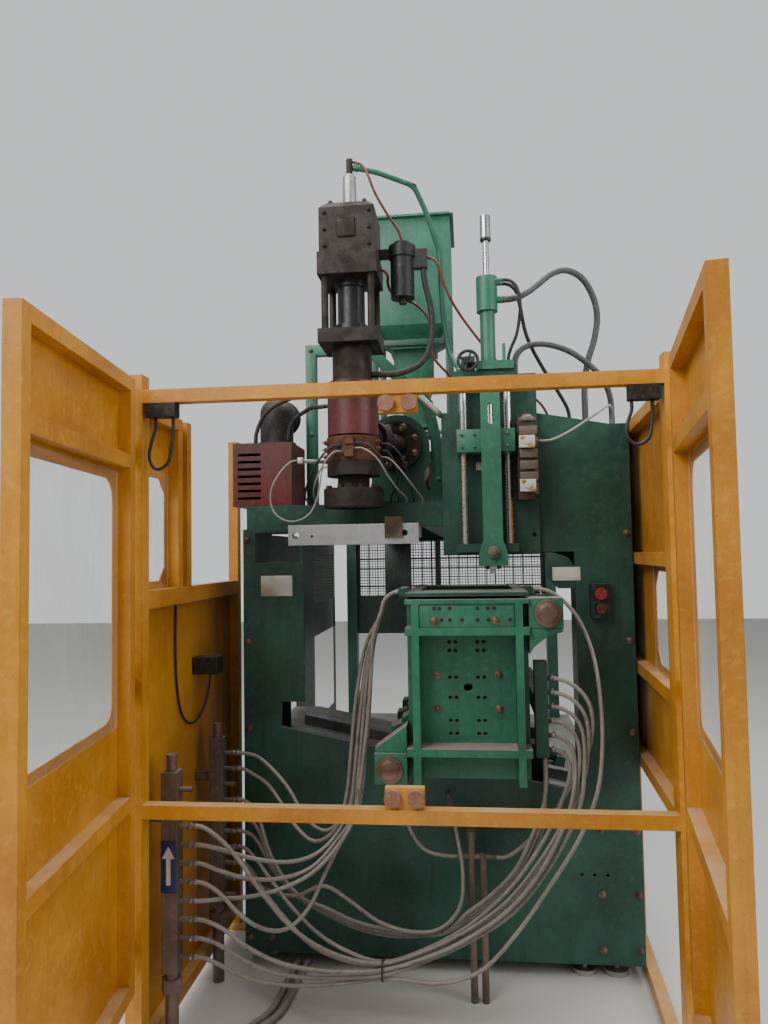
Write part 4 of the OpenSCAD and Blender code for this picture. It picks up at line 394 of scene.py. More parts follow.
# name, route, radius, finish
FIXED_ROUTES = [
    ("supply_hose_a", tip(REAR_PIPE, 1) + [(-570, 545, 345), (-500, 500, 338), (-400, 450, 350),
        (-300, 425, 395), (-220, 420, 355), (-120, 420, 288), (-20, 420, 260), (80, 425, 268),
        (145, 435, 330), (160, 445, 440), (140, 490, 560), (115, 595, 632), (110, 624.7, 640)], WATER_RADIUS,
     "grey_hose"),
    ("supply_hose_b", [(144.7, 500, 475), (110, 500, 475), (30, 502, 495), (-22, 525, 560),
        (-44, 580, 625), (-45, 624.7, 640)], WATER_RADIUS, "grey_hose"),
    ("air_line_top", [(-192.7, 580, 2951), (-173, 578, 2946), (-153, 572, 2929), (-138, 568, 2900),
        (-112, 576, 2830), (-62, 596, 2742), (-30, 613, 2696), (-18, 620, 2650.3)], 5, "red_hose"),
    ("air_line_long", [(75.3, 620, 2590), (95, 621, 2584), (112, 626, 2566), (124, 634, 2532),
        (141, 647, 2478), (175, 665, 2410), (255, 700, 2300), (335, 730, 2205), (410, 760, 2120),
        (490, 790, 2060), (520, 800, 1988.3)], 5, "red_hose"),
    ("air_line_low", [(-97.7, 600, 2545), (-84, 601, 2541), (-73, 607, 2527), (-74, 628, 2505),
        (-68, 656, 2486), (-44, 680, 2470), (-14, 688, 2458), (25, 688, 2438), (70, 692, 2385),
        (82, 700, 2310), (84, 702, 2245), (135, 735, 2185), (205, 775, 2125), (320, 795, 2070),
        (420, 800, 2040), (452, 800, 1992.3)], 5, "red_hose"),
    ("filter_hose", [(60, 620, 2549.7), (64, 620, 2500), (84, 622, 2400), (84, 620, 2290),
        (52, 605, 2200), (-20, 588, 2158), (-109.7, 580, 2151)], 11, "black_rubber"),
    ("lift_hose_high", [(346.3, 580, 2405), (392, 584, 2411), (436, 597, 2434), (481, 618, 2472),
        (530, 645, 2515), (585, 680, 2535), (640, 712, 2518), (682, 740, 2465), (704, 762, 2390),
        (694, 778, 2300), (668, 790, 2215), (655, 798, 2120), (655, 800, 2040), (655, 800, 1980.3)], 12,
     "grey_rubber"),
    ("lift_hose_low", [(385, 637.5, 2170.3), (390, 640, 2210), (411, 647, 2239), (443, 655, 2255),
        (480, 664, 2260), (525, 680, 2257), (590, 705, 2238), (650, 737, 2205), (708, 772, 2160),
        (750, 820, 2095), (762, 848, 2020), (762, 850, 1965.3)], 11, "grey_rubber"),
    ("valve_line_a", [(346.3, 600, 2470), (372, 602, 2464), (392, 607, 2446), (404, 619, 2410),
        (432, 660, 2290), (495, 720, 2180), (562, 772, 2085), (592, 797, 2030), (595, 800, 1985.3)], 7,
     "black_rubber"),
    ("valve_line_b", [(346.3, 560, 2470), (370, 558, 2465), (389, 554, 2447), (399, 551, 2418),
        (404, 553, 2375), (401, 573, 2330), (390, 584, 2275), (368, 597, 2225), (360, 600, 2190.3)], 6,
     "black_rubber"),
    ("valve_cable", [(454.3, 580, 1890), (500, 586, 1892), (565, 608, 1922), (625, 628, 1960),
        (680, 640, 1998), (722, 675, 2025), (742, 730, 2005), (742, 760, 1965.3)], 5, "pale_cable"),
    ("blower_cable_a", [(-610, 730, 1935.3), (-607, 728, 1975), (-560, 712, 2055), (-465, 690, 2098),
        (-405, 658, 2103), (-368, 626, 2098), (-334, 603, 2086), (-307.3, 598, 2081)], 8, "black_rubber"),
    ("blower_cable_b", [(-480, 728, 1935.3), (-473, 725, 1990), (-446, 709, 2026), (-402, 677, 2045),
        (-364, 630, 2050), (-330, 603, 2045), (-307.3, 598, 2046)], 8, "black_rubber"),
]


def square_to(v):
    """The axis that v follows most."""
    most = max(abs(c) for c in v)
    return Vector([c if abs(c) == most else 0 for c in v]).normalized()


def smooth_route(route, steps):
    """The source's curve through a route, in metres: square to the fitting at both ends."""
    p = [at(*q) for q in route]
    last = len(p) - 1
    turn = [square_to(p[1] - p[0])]
    turn += [((p[i] - p[i - 1]).normalized() + (p[i + 1] - p[i]).normalized()).normalized()
             for i in range(1, last)]
    turn.append(square_to(p[last] - p[last - 1]))
    line = []
    for i in range(last):
        reach = (p[i + 1] - p[i]).length
        for k in range(steps):
            t = k / steps
            line.append((1 - t) ** 2 * ((1 + 2 * t) * p[i] + t * reach * turn[i])
                        + t * t * ((3 - 2 * t) * p[i + 1] - (1 - t) * reach * turn[i + 1]))
    return line + [p[last]]


def new_piece(name, mesh, slot, body, material=None):
    """A shown piece of the object, riding on a body, or on none."""
    made = bpy.data.objects.new(name, mesh)
    scene.collection.objects.link(made)
    mesh.materials.append(material or M[slot])
    for face in mesh.polygons:
        face.use_smooth = True
    if body:
        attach(made, body)
    return made


FIRST_ACROSS = Vector((0.3, 0.2, 0.93))


def swept(bm, line, radius, sides):
    """A round tube along a line, in metres, closed at both ends and added to a bmesh."""
    last = len(line) - 1
    across = FIRST_ACROSS
    rings = []
    for i, point in enumerate(line):
        ahead = (line[min(i + 1, last)] - line[max(i - 1, 0)]).normalized()
        across = (across - ahead * across.dot(ahead)).normalized()
        other = ahead.cross(across)
        rings.append([bm.verts.new(point + radius * (math.cos(a) * across + math.sin(a) * other))
                      for a in (2 * math.pi * k / sides for k in range(sides))])
    for low, high in zip(rings, rings[1:]):
        for k in range(sides):
            bm.faces.new((low[k], low[(k + 1) % sides], high[(k + 1) % sides], high[k]))
    bm.faces.new(rings[0][::-1])
    bm.faces.new(rings[-1])


def mesh_of(name, fill):
    """A mesh made by fill(bmesh)."""
    bm = bmesh.new()
    fill(bm)
    bmesh.ops.recalc_face_normals(bm, faces=bm.faces)
    mesh = bpy.data.meshes.new(name)
    bm.to_mesh(mesh)
    bm.free()
    return mesh


def add_cord(name, route, radius, steps, sides, slot, finish, turn=None, node=None):
    """A hose or cable along a route.

    turn, when given, leaves the cord on no body, its place baked into the mesh; only whether it is given
    counts. node is what it stands for."""
    line = smooth_route(route, steps)
    mesh = mesh_of(name, lambda bm: swept(bm, line, radius / 1000, sides))
    cord = new_piece(name, mesh, slot, None if turn else "frame", M[finish])
    if turn:
        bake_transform(cord)
    if node:
        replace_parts(cord, node)


def add_hose(name, route, turn, node=None):
    """A water hose that runs to the clamp's carriage."""
    add_cord(name, route, WATER_RADIUS, 4, 12, "grey_hose", "grey_hose", turn, node)


def add_cable(name, route, radius, finish="black_rubber"):
    add_cord(name, route, radius, 5, 10, "black_rubber", finish)


# Where a hose is still fixed and where it moves with the carriage: by x, or by z for the one from the tee
TO_COMB = ((-0.62, 0, 0), (-0.13, 0, 0))
TO_BLOCK = ((-0.62, 0, 0), (0.40, 0, 0))
FROM_TEE = ((0, 0, 0.48), (0, 0, 0.95))
COMB_HOSES, TEE_HOSE = 6, 11
for number, route in enumerate(CLAMP_ROUTES):
    turn = TO_COMB if number < COMB_HOSES else FROM_TEE if number == TEE_HOSE else TO_BLOCK
    add_hose(f"clamp_hose_{number}", route, turn, "clamp_hoses")
for name, route, radius, finish in FIXED_ROUTES:
    add_cord(name, route, radius, 4, 12, "black_rubber", finish, node="fixed_hoses")


# Further hoses that the photograph shows, from the rear pipe to the foot of the clamp's hose block

FOOT_HOSES, FIRST_FOOT_NIPPLE = 3, 4


def foot_route(i):
    near, low = 16 * i, 18 * i
    return tip(REAR_PIPE, FIRST_FOOT_NIPPLE + i) + [
        (-575, 545, 505 + 50 * i), (-505, 526 - 9 * i, 406 + 26 * i), (-400, 503 - 14 * i, 316 + 11 * i),
        (-300, 478 - near, 278 + low), (-200, 472 - near, 240 + low), (-95, 468 - near, 222 + low),
        (20, 468 - near, 224 + 12 * i), (95, 470 - near, 236 + 9 * i), (170, 474 - near, 278 + low),
        (250, 465 - near, 342 + low), (328, 445 - near, 430 + low), (388 - 8 * i, 418 - near, 525 + low),
        (420 - 7 * i, 390 - near, 620 + low), (428 - 3 * i, 372 - near, 710), (429, 361 - near, 780),
        (429, 361 - near, 824), (429, 361 - near, 851.7)]


for number in range(FOOT_HOSES):
    add_hose(f"foot_hose_{number}", foot_route(number), TO_BLOCK)


# Shapes

UP, TO_FRONT = (0, 0, 1), (0, -1, 0)
SIDES = (-1, 1)
CORNERS = [(sx, sy) for sx in SIDES for sy in SIDES]
WASHER_HEIGHT, WASHER_SPREAD, HEX_START = 2.5, 1.45, 2.2
SHANK_HEIGHT, SHANK_SPREAD = 3, 0.55
ROUNDED_FROM, SHARP_FROM = 0.6, math.radians(35)
BEND_STEPS = 6
PIPE_SIDES = 14


def add_box(bm, low, high):
    """A box between two corners, in millimetres."""
    a, b = at(*low), at(*high)
    for v in bmesh.ops.create_cube(bm, size=1)["verts"]:
        v.co = Vector([a[i] if v.co[i] < 0 else b[i] for i in range(3)])


def add_block(bm, centre, half, z0, z1):
    """A box round an upright axis, given by its half sizes in x and y and its two heights."""
    x, y = centre
    add_box(bm, (x - half[0], y - half[1], z0), (x + half[0], y + half[1], z1))


def add_rod(bm, start, end, radius, sides, end_radius=None):
    """A round or many-sided bar between two points, in millimetres, tapered if end_radius is given."""
    a, b = at(*start), at(*end)
    turn = (b - a).to_track_quat("Z", "Y").to_matrix().to_4x4()
    far = radius if end_radius is None else end_radius
    bmesh.ops.create_cone(bm, cap_ends=True, segments=sides, radius1=radius / 1000, radius2=far / 1000,
                          depth=(b - a).length, matrix=Matrix.Translation((a + b) / 2) @ turn)


def add_outline(bm, points, y0, y1):
    """An outline of x and z points, filled between two depths."""
    front, back = ([bm.verts.new(at(x, y, z)) for x, z in points] for y in (y0, y1))
    bm.faces.new(front)
    bm.faces.new(back[::-1])
    for k in range(len(points)):
        bm.faces.new((front[k - 1], front[k], back[k], back[k - 1]))


def add_loft(bm, centre, steps):
    """Square rings of a half width and a height, joined one to the next and the last to the first."""
    rings = [[bm.verts.new(at(centre[0] + sx * half, centre[1] + sy * half, z))
              for sx, sy in ((-1, -1), (1, -1), (1, 1), (-1, 1))] for half, z in steps]
    for low, high in zip(rings, rings[1:] + rings[:1]):
        for k in range(4):
            bm.faces.new((low[k], low[(k + 1) % 4], high[(k + 1) % 4], high[k]))


def add_bolt(bm, seat, out, radius, height, washer=True):
    """A hex head with its washer and the end of its shank, standing out from a seat."""
    way = Vector(out)
    seat = Vector(seat)
    if washer:
        add_rod(bm, seat, seat + way * WASHER_HEIGHT, radius * WASHER_SPREAD, 20)
    add_rod(bm, seat + way * HEX_START, seat + way * height, radius, 6)
    add_rod(bm, seat + way * height, seat + way * (height + SHANK_HEIGHT), radius * SHANK_SPREAD, 12)


def bent_line(points, bend):
    """Straight runs between points in millimetres, with a round bend at each corner, in metres."""
    p = [at(*q) for q in points]
    line = [p[0]]
    for before, corner, after in zip(p, p[1:], p[2:]):
        start = corner + (before - corner).normalized() * bend
        end = corner + (after - corner).normalized() * bend
        for k in range(BEND_STEPS + 1):
            t = k / BEND_STEPS
            line.append((1 - t) ** 2 * start + 2 * t * (1 - t) * corner + t * t * end)
    return line + [p[-1]]


def solid(name, slot, body, fill, edge, material=None):
    """A rigid piece, its edges rounded by edge millimetres."""
    def whole(bm):
        fill(bm)
        bmesh.ops.recalc_face_normals(bm, faces=bm.faces)
        if edge:
            sharp = [e for e in bm.edges if len(e.link_faces) == 2 and e.calc_face_angle(0) > ROUNDED_FROM]
            bmesh.ops.bevel(bm, geom=sharp, offset=edge / 1000, segments=2, profile=0.5, affect="EDGES",
                            clamp_overlap=True)
    made = new_piece(name, mesh_of(name, whole), slot, body, material)
    made.data.set_sharp_from_angle(angle=SHARP_FROM)
    return made


# Hopper

HOPPER = (-75, 2050)
DECK_TOP = 1705.3
LEG_REACH, LEG_HALF = 197, 18
LEG_FOOT_HALF, LEG_FOOT_HEIGHT = 30, 8
LEG_TOP = 2712
RAIL_HALF, RAIL_BOTTOM, RAIL_TOP = 12, 2600, 2632
RINGS = ((234, 215.3, 3294, 3288), (128, 105.3, 2625, 2615), (128, 105.3, 2613, 2603))


def hopper_shell(bm):
    """The box with its duct, as one thin wall, its rims and flanges, and the chute below the gate."""
    outer = [(215, 3310), (215, 2710), (111, 2625), (105, 2600), (105, 2440), (64, 2300), (64, 2197)]
    inner = [(59, 2197), (59, 2302), (100, 2443), (100, 2602), (105, 2629), (210, 2714), (210, 3310)]
    add_loft(bm, HOPPER, outer + inner)
    for reach, wall, high, low in RINGS:
        add_loft(bm, HOPPER, [(reach, high), (reach, low), (wall, low), (wall, high)])
    add_block(bm, HOPPER, (85, 70), 2181.4, 2197)
    add_block(bm, HOPPER, (85, 70), 2133, 2148.6)
    add_rod(bm, HOPPER + (2008,), HOPPER + (2133,), 58, 32)
    add_block(bm, HOPPER, (75, 75), 2005, 2023)


def hopper_legs(bm):
    for sx, sy in CORNERS:
        leg = (HOPPER[0] + sx * LEG_REACH, HOPPER[1] + sy * LEG_REACH)
        add_block(bm, leg, (LEG_HALF, LEG_HALF), DECK_TOP + LEG_FOOT_HEIGHT, LEG_TOP)
        add_block(bm, leg, (LEG_FOOT_HALF, LEG_FOOT_HALF), DECK_TOP, DECK_TOP + LEG_FOOT_HEIGHT)
    between = LEG_REACH - LEG_HALF
    for sx in SIDES:
        add_block(bm, (HOPPER[0] + sx * LEG_REACH, HOPPER[1]), (RAIL_HALF, between), RAIL_BOTTOM, RAIL_TOP)
    add_block(bm, (HOPPER[0], HOPPER[1] - LEG_REACH), (between, RAIL_HALF), RAIL_BOTTOM, RAIL_TOP)


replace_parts(solid("hopper_body", "green_paint", "frame", hopper_shell, 1.5, M["light_green_paint"]), "hopper")
solid("hopper_legs", "green_paint", "frame", hopper_legs, 2)


# Extruder and head

HEAD = (-205, 580)
STEM_FOOT, STEM_SHOULDER = 2782, 2893
ROD_REACH = 62
CLAMP_RADIUS = 97
FRAME_FRONT, FRAME_BACK = 960, 996
FRAME_FOOT = 1690.4
WIRE_END_Z = 1690.6
PALE_WIRES = (1, 4, 6)
THIN_WIRE, THICK_WIRE = 3.2, 3.8
AIR_PIPE_RADIUS, AIR_PIPE_BEND = 0.0102, 0.028
AIR_PIPE = [(-190, 580, 2930), (-105, 590, 2912), (30, 625, 2868), (70, 660, 2785), (118, 700, 2640),
            (125, 700, 2400), (150, 690, 2240), (190, 637, 2160)]
AIR_PIPE_NUTS = (((-189, 580, 2930), (-172, 582, 2926.5)), ((182, 648, 2170), (189, 638.5, 2161.5)))
ELBOW_RADIUS, ELBOW_BEND = 0.0115, 0.018
ELBOW_PIPE = [(-106, 600, 2092), (20, 600, 2088), (70, 602, 2040), (104, 612, 2008), (112.6, 637, 2004)]
ELBOW_NUTS = (((-106, 600, 2092), (-88, 600, 2091.4)), ((-20, 600, 2089.3), (0, 600, 2088.7)))


def barrel_frame(bm):
    """The green frame that stands on the deck round the barrel."""
    outer = [(-460, FRAME_FOOT), (-460, 2378), (-190, 2378), (70, 2122), (102, 1965), (110, FRAME_FOOT)]
    inner = [(65, FRAME_FOOT), (57, 1955), (28, 2098), (-208, 2333), (-415, 2333), (-415, FRAME_FOOT)]
    add_outline(bm, outer + inner, FRAME_FRONT, FRAME_BACK)
    add_box(bm, (-460, FRAME_FRONT, 1650), (-330.4, FRAME_BACK, 1690))
    for x, z in ((-437, 2355), (-437, 2000), (-320, 2355), (88, 1800)):
        add_bolt(bm, (x, FRAME_FRONT, z), TO_FRONT, 8, 8)


solid("barrel_frame", "green_paint", "frame", barrel_frame, 3, M["light_green_paint"])


def green_pipe(bm):
    swept(bm, bent_line(AIR_PIPE, AIR_PIPE_BEND), AIR_PIPE_RADIUS, PIPE_SIDES)
    for start, end in AIR_PIPE_NUTS:
        add_rod(bm, start, end, 15, 6)


solid("air_pipe", "green_paint", "frame", green_pipe, 0, M["light_green_paint"])


def head_stem(bm):
    add_rod(bm, HEAD + (STEM_FOOT,), HEAD + (STEM_SHOULDER,), 25, 32)
    add_rod(bm, HEAD + (STEM_SHOULDER,), HEAD + (2901,), 19, 32)


def stem_nut(bm):
    add_rod(bm, HEAD + (2767.3,), HEAD + (STEM_FOOT,), 37, 6)
    for sx, sy in CORNERS:
        add_bolt(bm, (HEAD[0] + sx * ROD_REACH, HEAD[1] + sy * ROD_REACH, 2767), UP, 9, 11)


solid("head_stem", "pale_metal", "frame", head_stem, 2)
solid("stem_nut", "black_steel", "frame", stem_nut, 1)


def actuator_screws(bm):
    """The screws and the bare plate on the actuator's face."""
    for sx in SIDES:
        for z in (2600, 2660, 2722):
            add_bolt(bm, (HEAD[0] + sx * 80, 480, z), TO_FRONT, 7, 7, False)
    add_box(bm, (-236, 474, 2630), (-174, 480.4, 2700))


solid("actuator_screws", "burnt_steel", "frame", actuator_screws, 0.8)


def elbow_pipe(bm):
    swept(bm, bent_line(ELBOW_PIPE, ELBOW_BEND), ELBOW_RADIUS, PIPE_SIDES)
    for start, end in ELBOW_NUTS:
        add_rod(bm, start, end, 17, 6)


solid("elbow_pipe", "pale_metal", "frame", elbow_pipe, 0)


def band_clamps(bm):
    """The heater bands' screws and terminal boxes round the head."""
    for z in (1850, 1876, 1902):
        for turn in (200, 340):
            a = math.radians(turn)
            x, y = HEAD[0] + CLAMP_RADIUS * math.cos(a), HEAD[1] + CLAMP_RADIUS * math.sin(a)
            add_block(bm, (x, y), (9, 7), z - 8, z + 8)
            add_rod(bm, (x - 16, y - 8, z), (x + 16, y - 8, z), 3, 10)
    add_box(bm, (-232, 474, 1852), (-186, 486, 1900))


solid("band_clamps", "rusty_band", "frame", band_clamps, 0.8)

HEATER_WIRES = [
    [(-186, 480, 1890), (-160, 478, 1889), (-120, 490, 1868), (-84, 530, 1800), (-66, 600, 1745),
     (-58, 668, 1722), (-56, 716, 1712), (-56, 735, WIRE_END_Z)],
    [(-186, 480, 1872), (-158, 476, 1870), (-112, 484, 1838), (-72, 526, 1770), (-44, 596, 1728),
     (-30, 664, 1714), (-26, 712, 1706), (-26, 735, WIRE_END_Z)],
    [(-108, 610, 1902), (-84, 614, 1901), (-46, 626, 1872), (-20, 656, 1812), (-6, 690, 1750),
     (0, 722, 1716), (2, 738, WIRE_END_Z)],
    [(-108, 610, 1876), (-88, 614, 1874), (-62, 622, 1836), (-50, 646, 1778), (-70, 680, 1730),
     (-84, 714, 1714), (-86, 738, WIRE_END_Z)],
    [(-108, 590, 1850), (-80, 588, 1846), (-34, 596, 1800), (4, 622, 1748), (26, 672, 1718), (32, 716, 1706),
     (34, 738, WIRE_END_Z)],
    [(-232, 480, 1884), (-262, 476, 1880), (-318, 490, 1830), (-366, 540, 1760), (-392, 610, 1716),
     (-398, 672, 1704), (-400, 716, 1702), (-400, 735, WIRE_END_Z)],
    [(-232, 480, 1862), (-258, 472, 1858), (-300, 478, 1812), (-338, 520, 1748), (-356, 596, 1714),
     (-362, 668, 1704), (-364, 712, 1702), (-364, 735, WIRE_END_Z)],
]
for number, route in enumerate(HEATER_WIRES):
    radius, finish = (THIN_WIRE, "pale_cable") if number in PALE_WIRES else (THICK_WIRE, "black_rubber")
    add_cable(f"heater_wire_{number}", route, radius, finish)


# Blow station

BLOW = (288, 580)
CROSS_FACE = 519.4
VALVE = (417, 572)
VALVE_FACE, PLUG_FACE = 515, 496
PLUG_ZS = (1727, 1879)
KNOB_Z = 1500


def cross_block(bm):
    add_box(bm, (169.4, CROSS_FACE, 1849.4), (372.6, 620.6, 1930.6))
    for x in (186, 230, 346):
        for z in (1868, 1912):
            add_bolt(bm, (x, CROSS_FACE, z), TO_FRONT, 6, 7, False)


solid("cross_block", "green_paint", "blow_head", cross_block, 4, M["light_green_paint"])


def cap_sleeve(bm):
    add_rod(bm, BLOW + (2627,), BLOW + (2716,), 17, 28)
    add_rod(bm, BLOW + (2622,), BLOW + (2632,), 20, 28)


def valve_tops(bm):
    """The cap on the valve block and the covers down its face."""
    add_rod(bm, VALVE + (1958,), VALVE + (1972,), 33, 32)
    add_rod(bm, VALVE + (1972,), VALVE + (1984,), 26, 32, 14)
    for z in range(1720, 1921, 40):
        add_box(bm, (386, VALVE_FACE, z - 15), (448, 518.4, z + 15))


def valve_plugs(bm):
    for z in PLUG_ZS:
        add_box(bm, (384, PLUG_FACE, z - 21), (438, VALVE_FACE, z + 21))
        add_rod(bm, (411, PLUG_FACE, z), (411, 488, z), 12, 20)


def valve_clips(bm):
    for z in PLUG_ZS:
        add_box(bm, (388, 490, z + 10), (402, PLUG_FACE, z + 19))
        add_box(bm, (420, 490, z - 19), (434, PLUG_FACE, z - 10))


solid("cap_sleeve", "black_steel", "blow_head", cap_sleeve, 1)
solid("valve_tops", "brown_paint", "frame", valve_tops, 1.2, M["dull_brown"])
solid("valve_plugs", "pale_metal", "frame", valve_plugs, 1.5, M["white_plate"])
solid("valve_clips", "black_plastic", "frame", valve_clips, 0.8, M["yellow_plastic"])


def carrier_knob(bm):
    add_rod(bm, (BLOW[0], 499.6, KNOB_Z), (BLOW[0], 484, KNOB_Z), 21, 32)
    add_rod(bm, (BLOW[0], 484, KNOB_Z), (BLOW[0], 477, KNOB_Z), 13, 6)


solid("carrier_knob", "dull_brown", "blow_head", carrier_knob, 1.5, M["dull_brown"])


# Plates and screws

FRONT_FACE = 649.8
LEFT_SCREWS, RIGHT_SCREWS = -622, 764
SCREW_XS, SCREW_ZS = (LEFT_SCREWS, -538, 640, RIGHT_SCREWS), (110, 300, 520)
HIGH_SCREW_ZS = (860, 1180, 1560)
ANCHORS = ((-830, 25), (-720, 25), (720, 25), (830, 25), (-817, 980), (-733, 980))


def plate(name, low, high, material, inset):
    """A bare plate with a screw in each corner."""
    def fill(bm):
        add_box(bm, low, high)
        for x in (low[0] + inset, high[0] - inset):
            for z in (low[2] + inset, high[2] - inset):
                add_rod(bm, (x, low[1] + 0.4, z), (x, low[1] - 1.6, z), 2.6, 12)
    solid(name, "pale_metal", "frame", fill, 0.6, material)


plate("column_plate", (-572, 647.4, 1349), (-452, FRONT_FACE, 1425), M["pale_metal"], 7)
plate("front_small_plate", (500, 647.4, 1394), (598, FRONT_FACE, 1442), M["white_plate"], 8)
plate("back_plate_label", (236, 622.2, 1797), (272, 624.8, 1826), M["white_plate"], 5)
plate("arrow_plate", (-736, 101, 497), (-688, 104.7, 648), M["blue_plate"], 5)


def arrow(bm):
    outline = [(-719, 520), (-705, 520), (-705, 598), (-692, 598), (-712, 634), (-732, 598), (-719, 598)]
    add_outline(bm, outline, 100.2, 101)


solid("arrow", "pale_metal", "frame", arrow, 0, M["white_plate"])


def front_screws(bm):
    low = [(x, z) for x in SCREW_XS for z in SCREW_ZS]
    left = [(LEFT_SCREWS, z) for z in HIGH_SCREW_ZS]
    right = [(RIGHT_SCREWS, z) for z in HIGH_SCREW_ZS]
    for x, z in low + left + [(-440, 1560)] + right:
        add_bolt(bm, (x, FRONT_FACE, z), TO_FRONT, 9, 9)


solid("front_screws", "worn_steel", "frame", front_screws, 0.8, M["brown_steel"])


def anchor_nuts(bm):
    for x, y in ANCHORS:
        for z0, z1, radius, sides in ((8.2, 11, 13, 24), (11, 21, 9.5, 6), (21, 34, 5, 16)):
            add_rod(bm, (x, y, z0), (x, y, z1), radius, sides)


solid("anchor_nuts", "worn_steel", "frame", anchor_nuts, 0.5)


# Hose fittings

BAND_RADIUS = 8.2
USED_NIPPLES = ((FRONT_PIPE, range(8)), (REAR_PIPE, (1, 2, 3, 4, 5, 6, 8, 9)))
TIE_X, TIE_Y, TIE_Z = -95, 313, 190
TIE_HALF_Y, TIE_HALF_Z, TIE_RADIUS = 29, 33, 0.0026


def hose_bands(bm):
    for y, used in USED_NIPPLES:
        for z in (nipple_z(i) for i in used):
            add_rod(bm, (-641, y, z), (-632, y, z), BAND_RADIUS, 20)
            add_box(bm, (-640, y - 4, z + 7), (-633, y + 4, z + 12))
            add_rod(bm, (-656, y, z), (-648, y, z), 10.5, 6)


def block_bands(bm):
    for z in BLOCK_ZS:
        add_rod(bm, (454, BLOCK_Y, z), (463, BLOCK_Y, z), BAND_RADIUS, 20)
        add_box(bm, (455, BLOCK_Y - 4, z + 7), (462, BLOCK_Y + 4, z + 12))
    for y in (COMB[1] + COMB_PITCH * i for i in PLACES):
        add_rod(bm, (COMB[0] - 12, y, COMB[2]), (COMB[0] - 4, y, COMB[2]), BAND_RADIUS, 20)


solid("hose_bands", "worn_steel", "frame", hose_bands, 0.5)
solid("block_bands", "worn_steel", "carriage", block_bands, 0.5)


def hose_tie(bm):
    """The loop that ties the hoses together where they hang lowest."""
    ring = [at(TIE_X, TIE_Y + TIE_HALF_Y * math.cos(a), TIE_Z + TIE_HALF_Z * math.sin(a))
            for a in (math.radians(15 * k) for k in range(25))]
    swept(bm, ring, TIE_RADIUS, 8)


tie = new_piece("hose_tie", mesh_of("hose_tie", hose_tie), "black_plastic", None)
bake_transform(tie)


# Cables of the guard

add_cable("switch_cable_left", [(-716, 20, 1915.6), (-716, 20, 1888), (-728, 14, 1838), (-730, 8, 1790),
          (-706, 4, 1760), (-676, 6, 1776), (-664, 12, 1826), (-662, 20, 1884), (-662, 20, 1915.6)], 5)
add_cable("switch_cable_right", [(664, 20, 1915.6), (664, 20, 1890), (650, 14, 1850), (648, 8, 1812),
          (672, 4, 1790), (704, 8, 1806), (716, 16, 1850), (720, 20, 1890), (720, 20, 1915.6)], 5)
add_cable("wing_cable", [(-786, 355, 1344.6), (-786, 352, 1290), (-786, 350, 1180), (-786, 365, 1055),
          (-786, 400, 970), (-786, 485, 915), (-786, 580, 920), (-784, 645, 965), (-778, 668, 1030),
          (-772, 652, 1088), (-770, 620, 1109), (-770, 590.5, 1110)], 4)


# Clamp face

TIE_ROD_MIDDLE, TIE_ROD_REACH = (192, 1067), (249, 241)
PLATEN_FACE = 339.6
COVER_FACE = 255
HOLE_ROWS = ((1326, (92, 108, 140, 226, 258, 278)), (1290, (114, 140, 178, 226, 260, 326)))
FACE_BOLTS = ((92, COVER_FACE, 1288), (281, COVER_FACE, 1288), (94, 340, 1108), (290, 340, 1108),
              (94, 340, 1000), (290, 340, 1000))


def tie_rods(bm):
    """The two tie rods with their round nuts in front and hex nuts behind."""
    for s in SIDES:
        x, z = (middle + s * reach for middle, reach in zip(TIE_ROD_MIDDLE, TIE_ROD_REACH))
        for y0, y1, radius, sides in ((234, 1330, 27, 32), (250, 261.6, 42, 40), (240, 250, 34, 8),
                                      (1290.3, 1320, 45, 6)):
            add_rod(bm, (x, y0, z), (x, y1, z), radius, sides)


def corner_blocks(bm):
    add_box(bm, (384, 262, 1262), (490, PLATEN_FACE, 1356))
    add_box(bm, (-106, 262, 778), (-2, PLATEN_FACE, 876))
    add_box(bm, (43, COVER_FACE, 1266.4), (341, PLATEN_FACE, 1339.6))
    upper = [(384, 1262), (384, 1180), (398, 1204), (440, 1236), (488, 1250), (488, 1262)]
    lower = [(-2, 876), (-2, 962), (-104, 890), (-104, 876)]
    for outline in (upper, lower):
        add_outline(bm, outline, 266, PLATEN_FACE)


def face_holes(bm):
    for z, xs in HOLE_ROWS:
        for x in xs:
            add_rod(bm, (x, COVER_FACE - 0.4, z), (x, COVER_FACE + 1, z), 6.5, 20)


def face_bolts(bm):
    for seat in FACE_BOLTS:
        add_bolt(bm, seat, TO_FRONT, 9, 9)


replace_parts(solid("tie_rods", "brown_steel", "front_clamp", tie_rods, 1.5), "tie_bars")
solid("corner_blocks", "clamp_green", "front_clamp", corner_blocks, 2.5)
solid("face_holes", "black_steel", "front_clamp", face_holes, 0)
solid("face_bolts", "brown_steel", "front_clamp", face_bolts, 0.8)


# Sides and back

MESH_PITCH, MESH_WIRE = 17, 0.0024
MESH_LAYER = 2
SIDE_OUT, SIDE_IN = -640, -636
REAR_MESH = (-486, 1250), (648, 1588)
SIDE_WINDOW = (1950, 1235), (2540, 1500)
SIDE_STRIPS = ((905, 1950, 840, 1588), (1512, 1950, 505, 840), (1950, 2596, 1500, 1588),
               (1950, 2596, 1060, 1235), (1950, 2596, 505, 600), (2540, 2596, 600, 1500))


def wire_grid(bm, place, low, high):
    """Crossing wires; place(u, v, layer) gives a point for two coordinates in the grid's plane."""
    for k in range(int((high[0] - low[0]) / MESH_PITCH) + 1):
        u = low[0] + MESH_PITCH * k
        swept(bm, [place(u, low[1], 0), place(u, high[1], 0)], MESH_WIRE, 4)
    for k in range(int((high[1] - low[1]) / MESH_PITCH) + 1):
        v = low[1] + MESH_PITCH * k
        swept(bm, [place(low[0], v, 1), place(high[0], v, 1)], MESH_WIRE, 4)


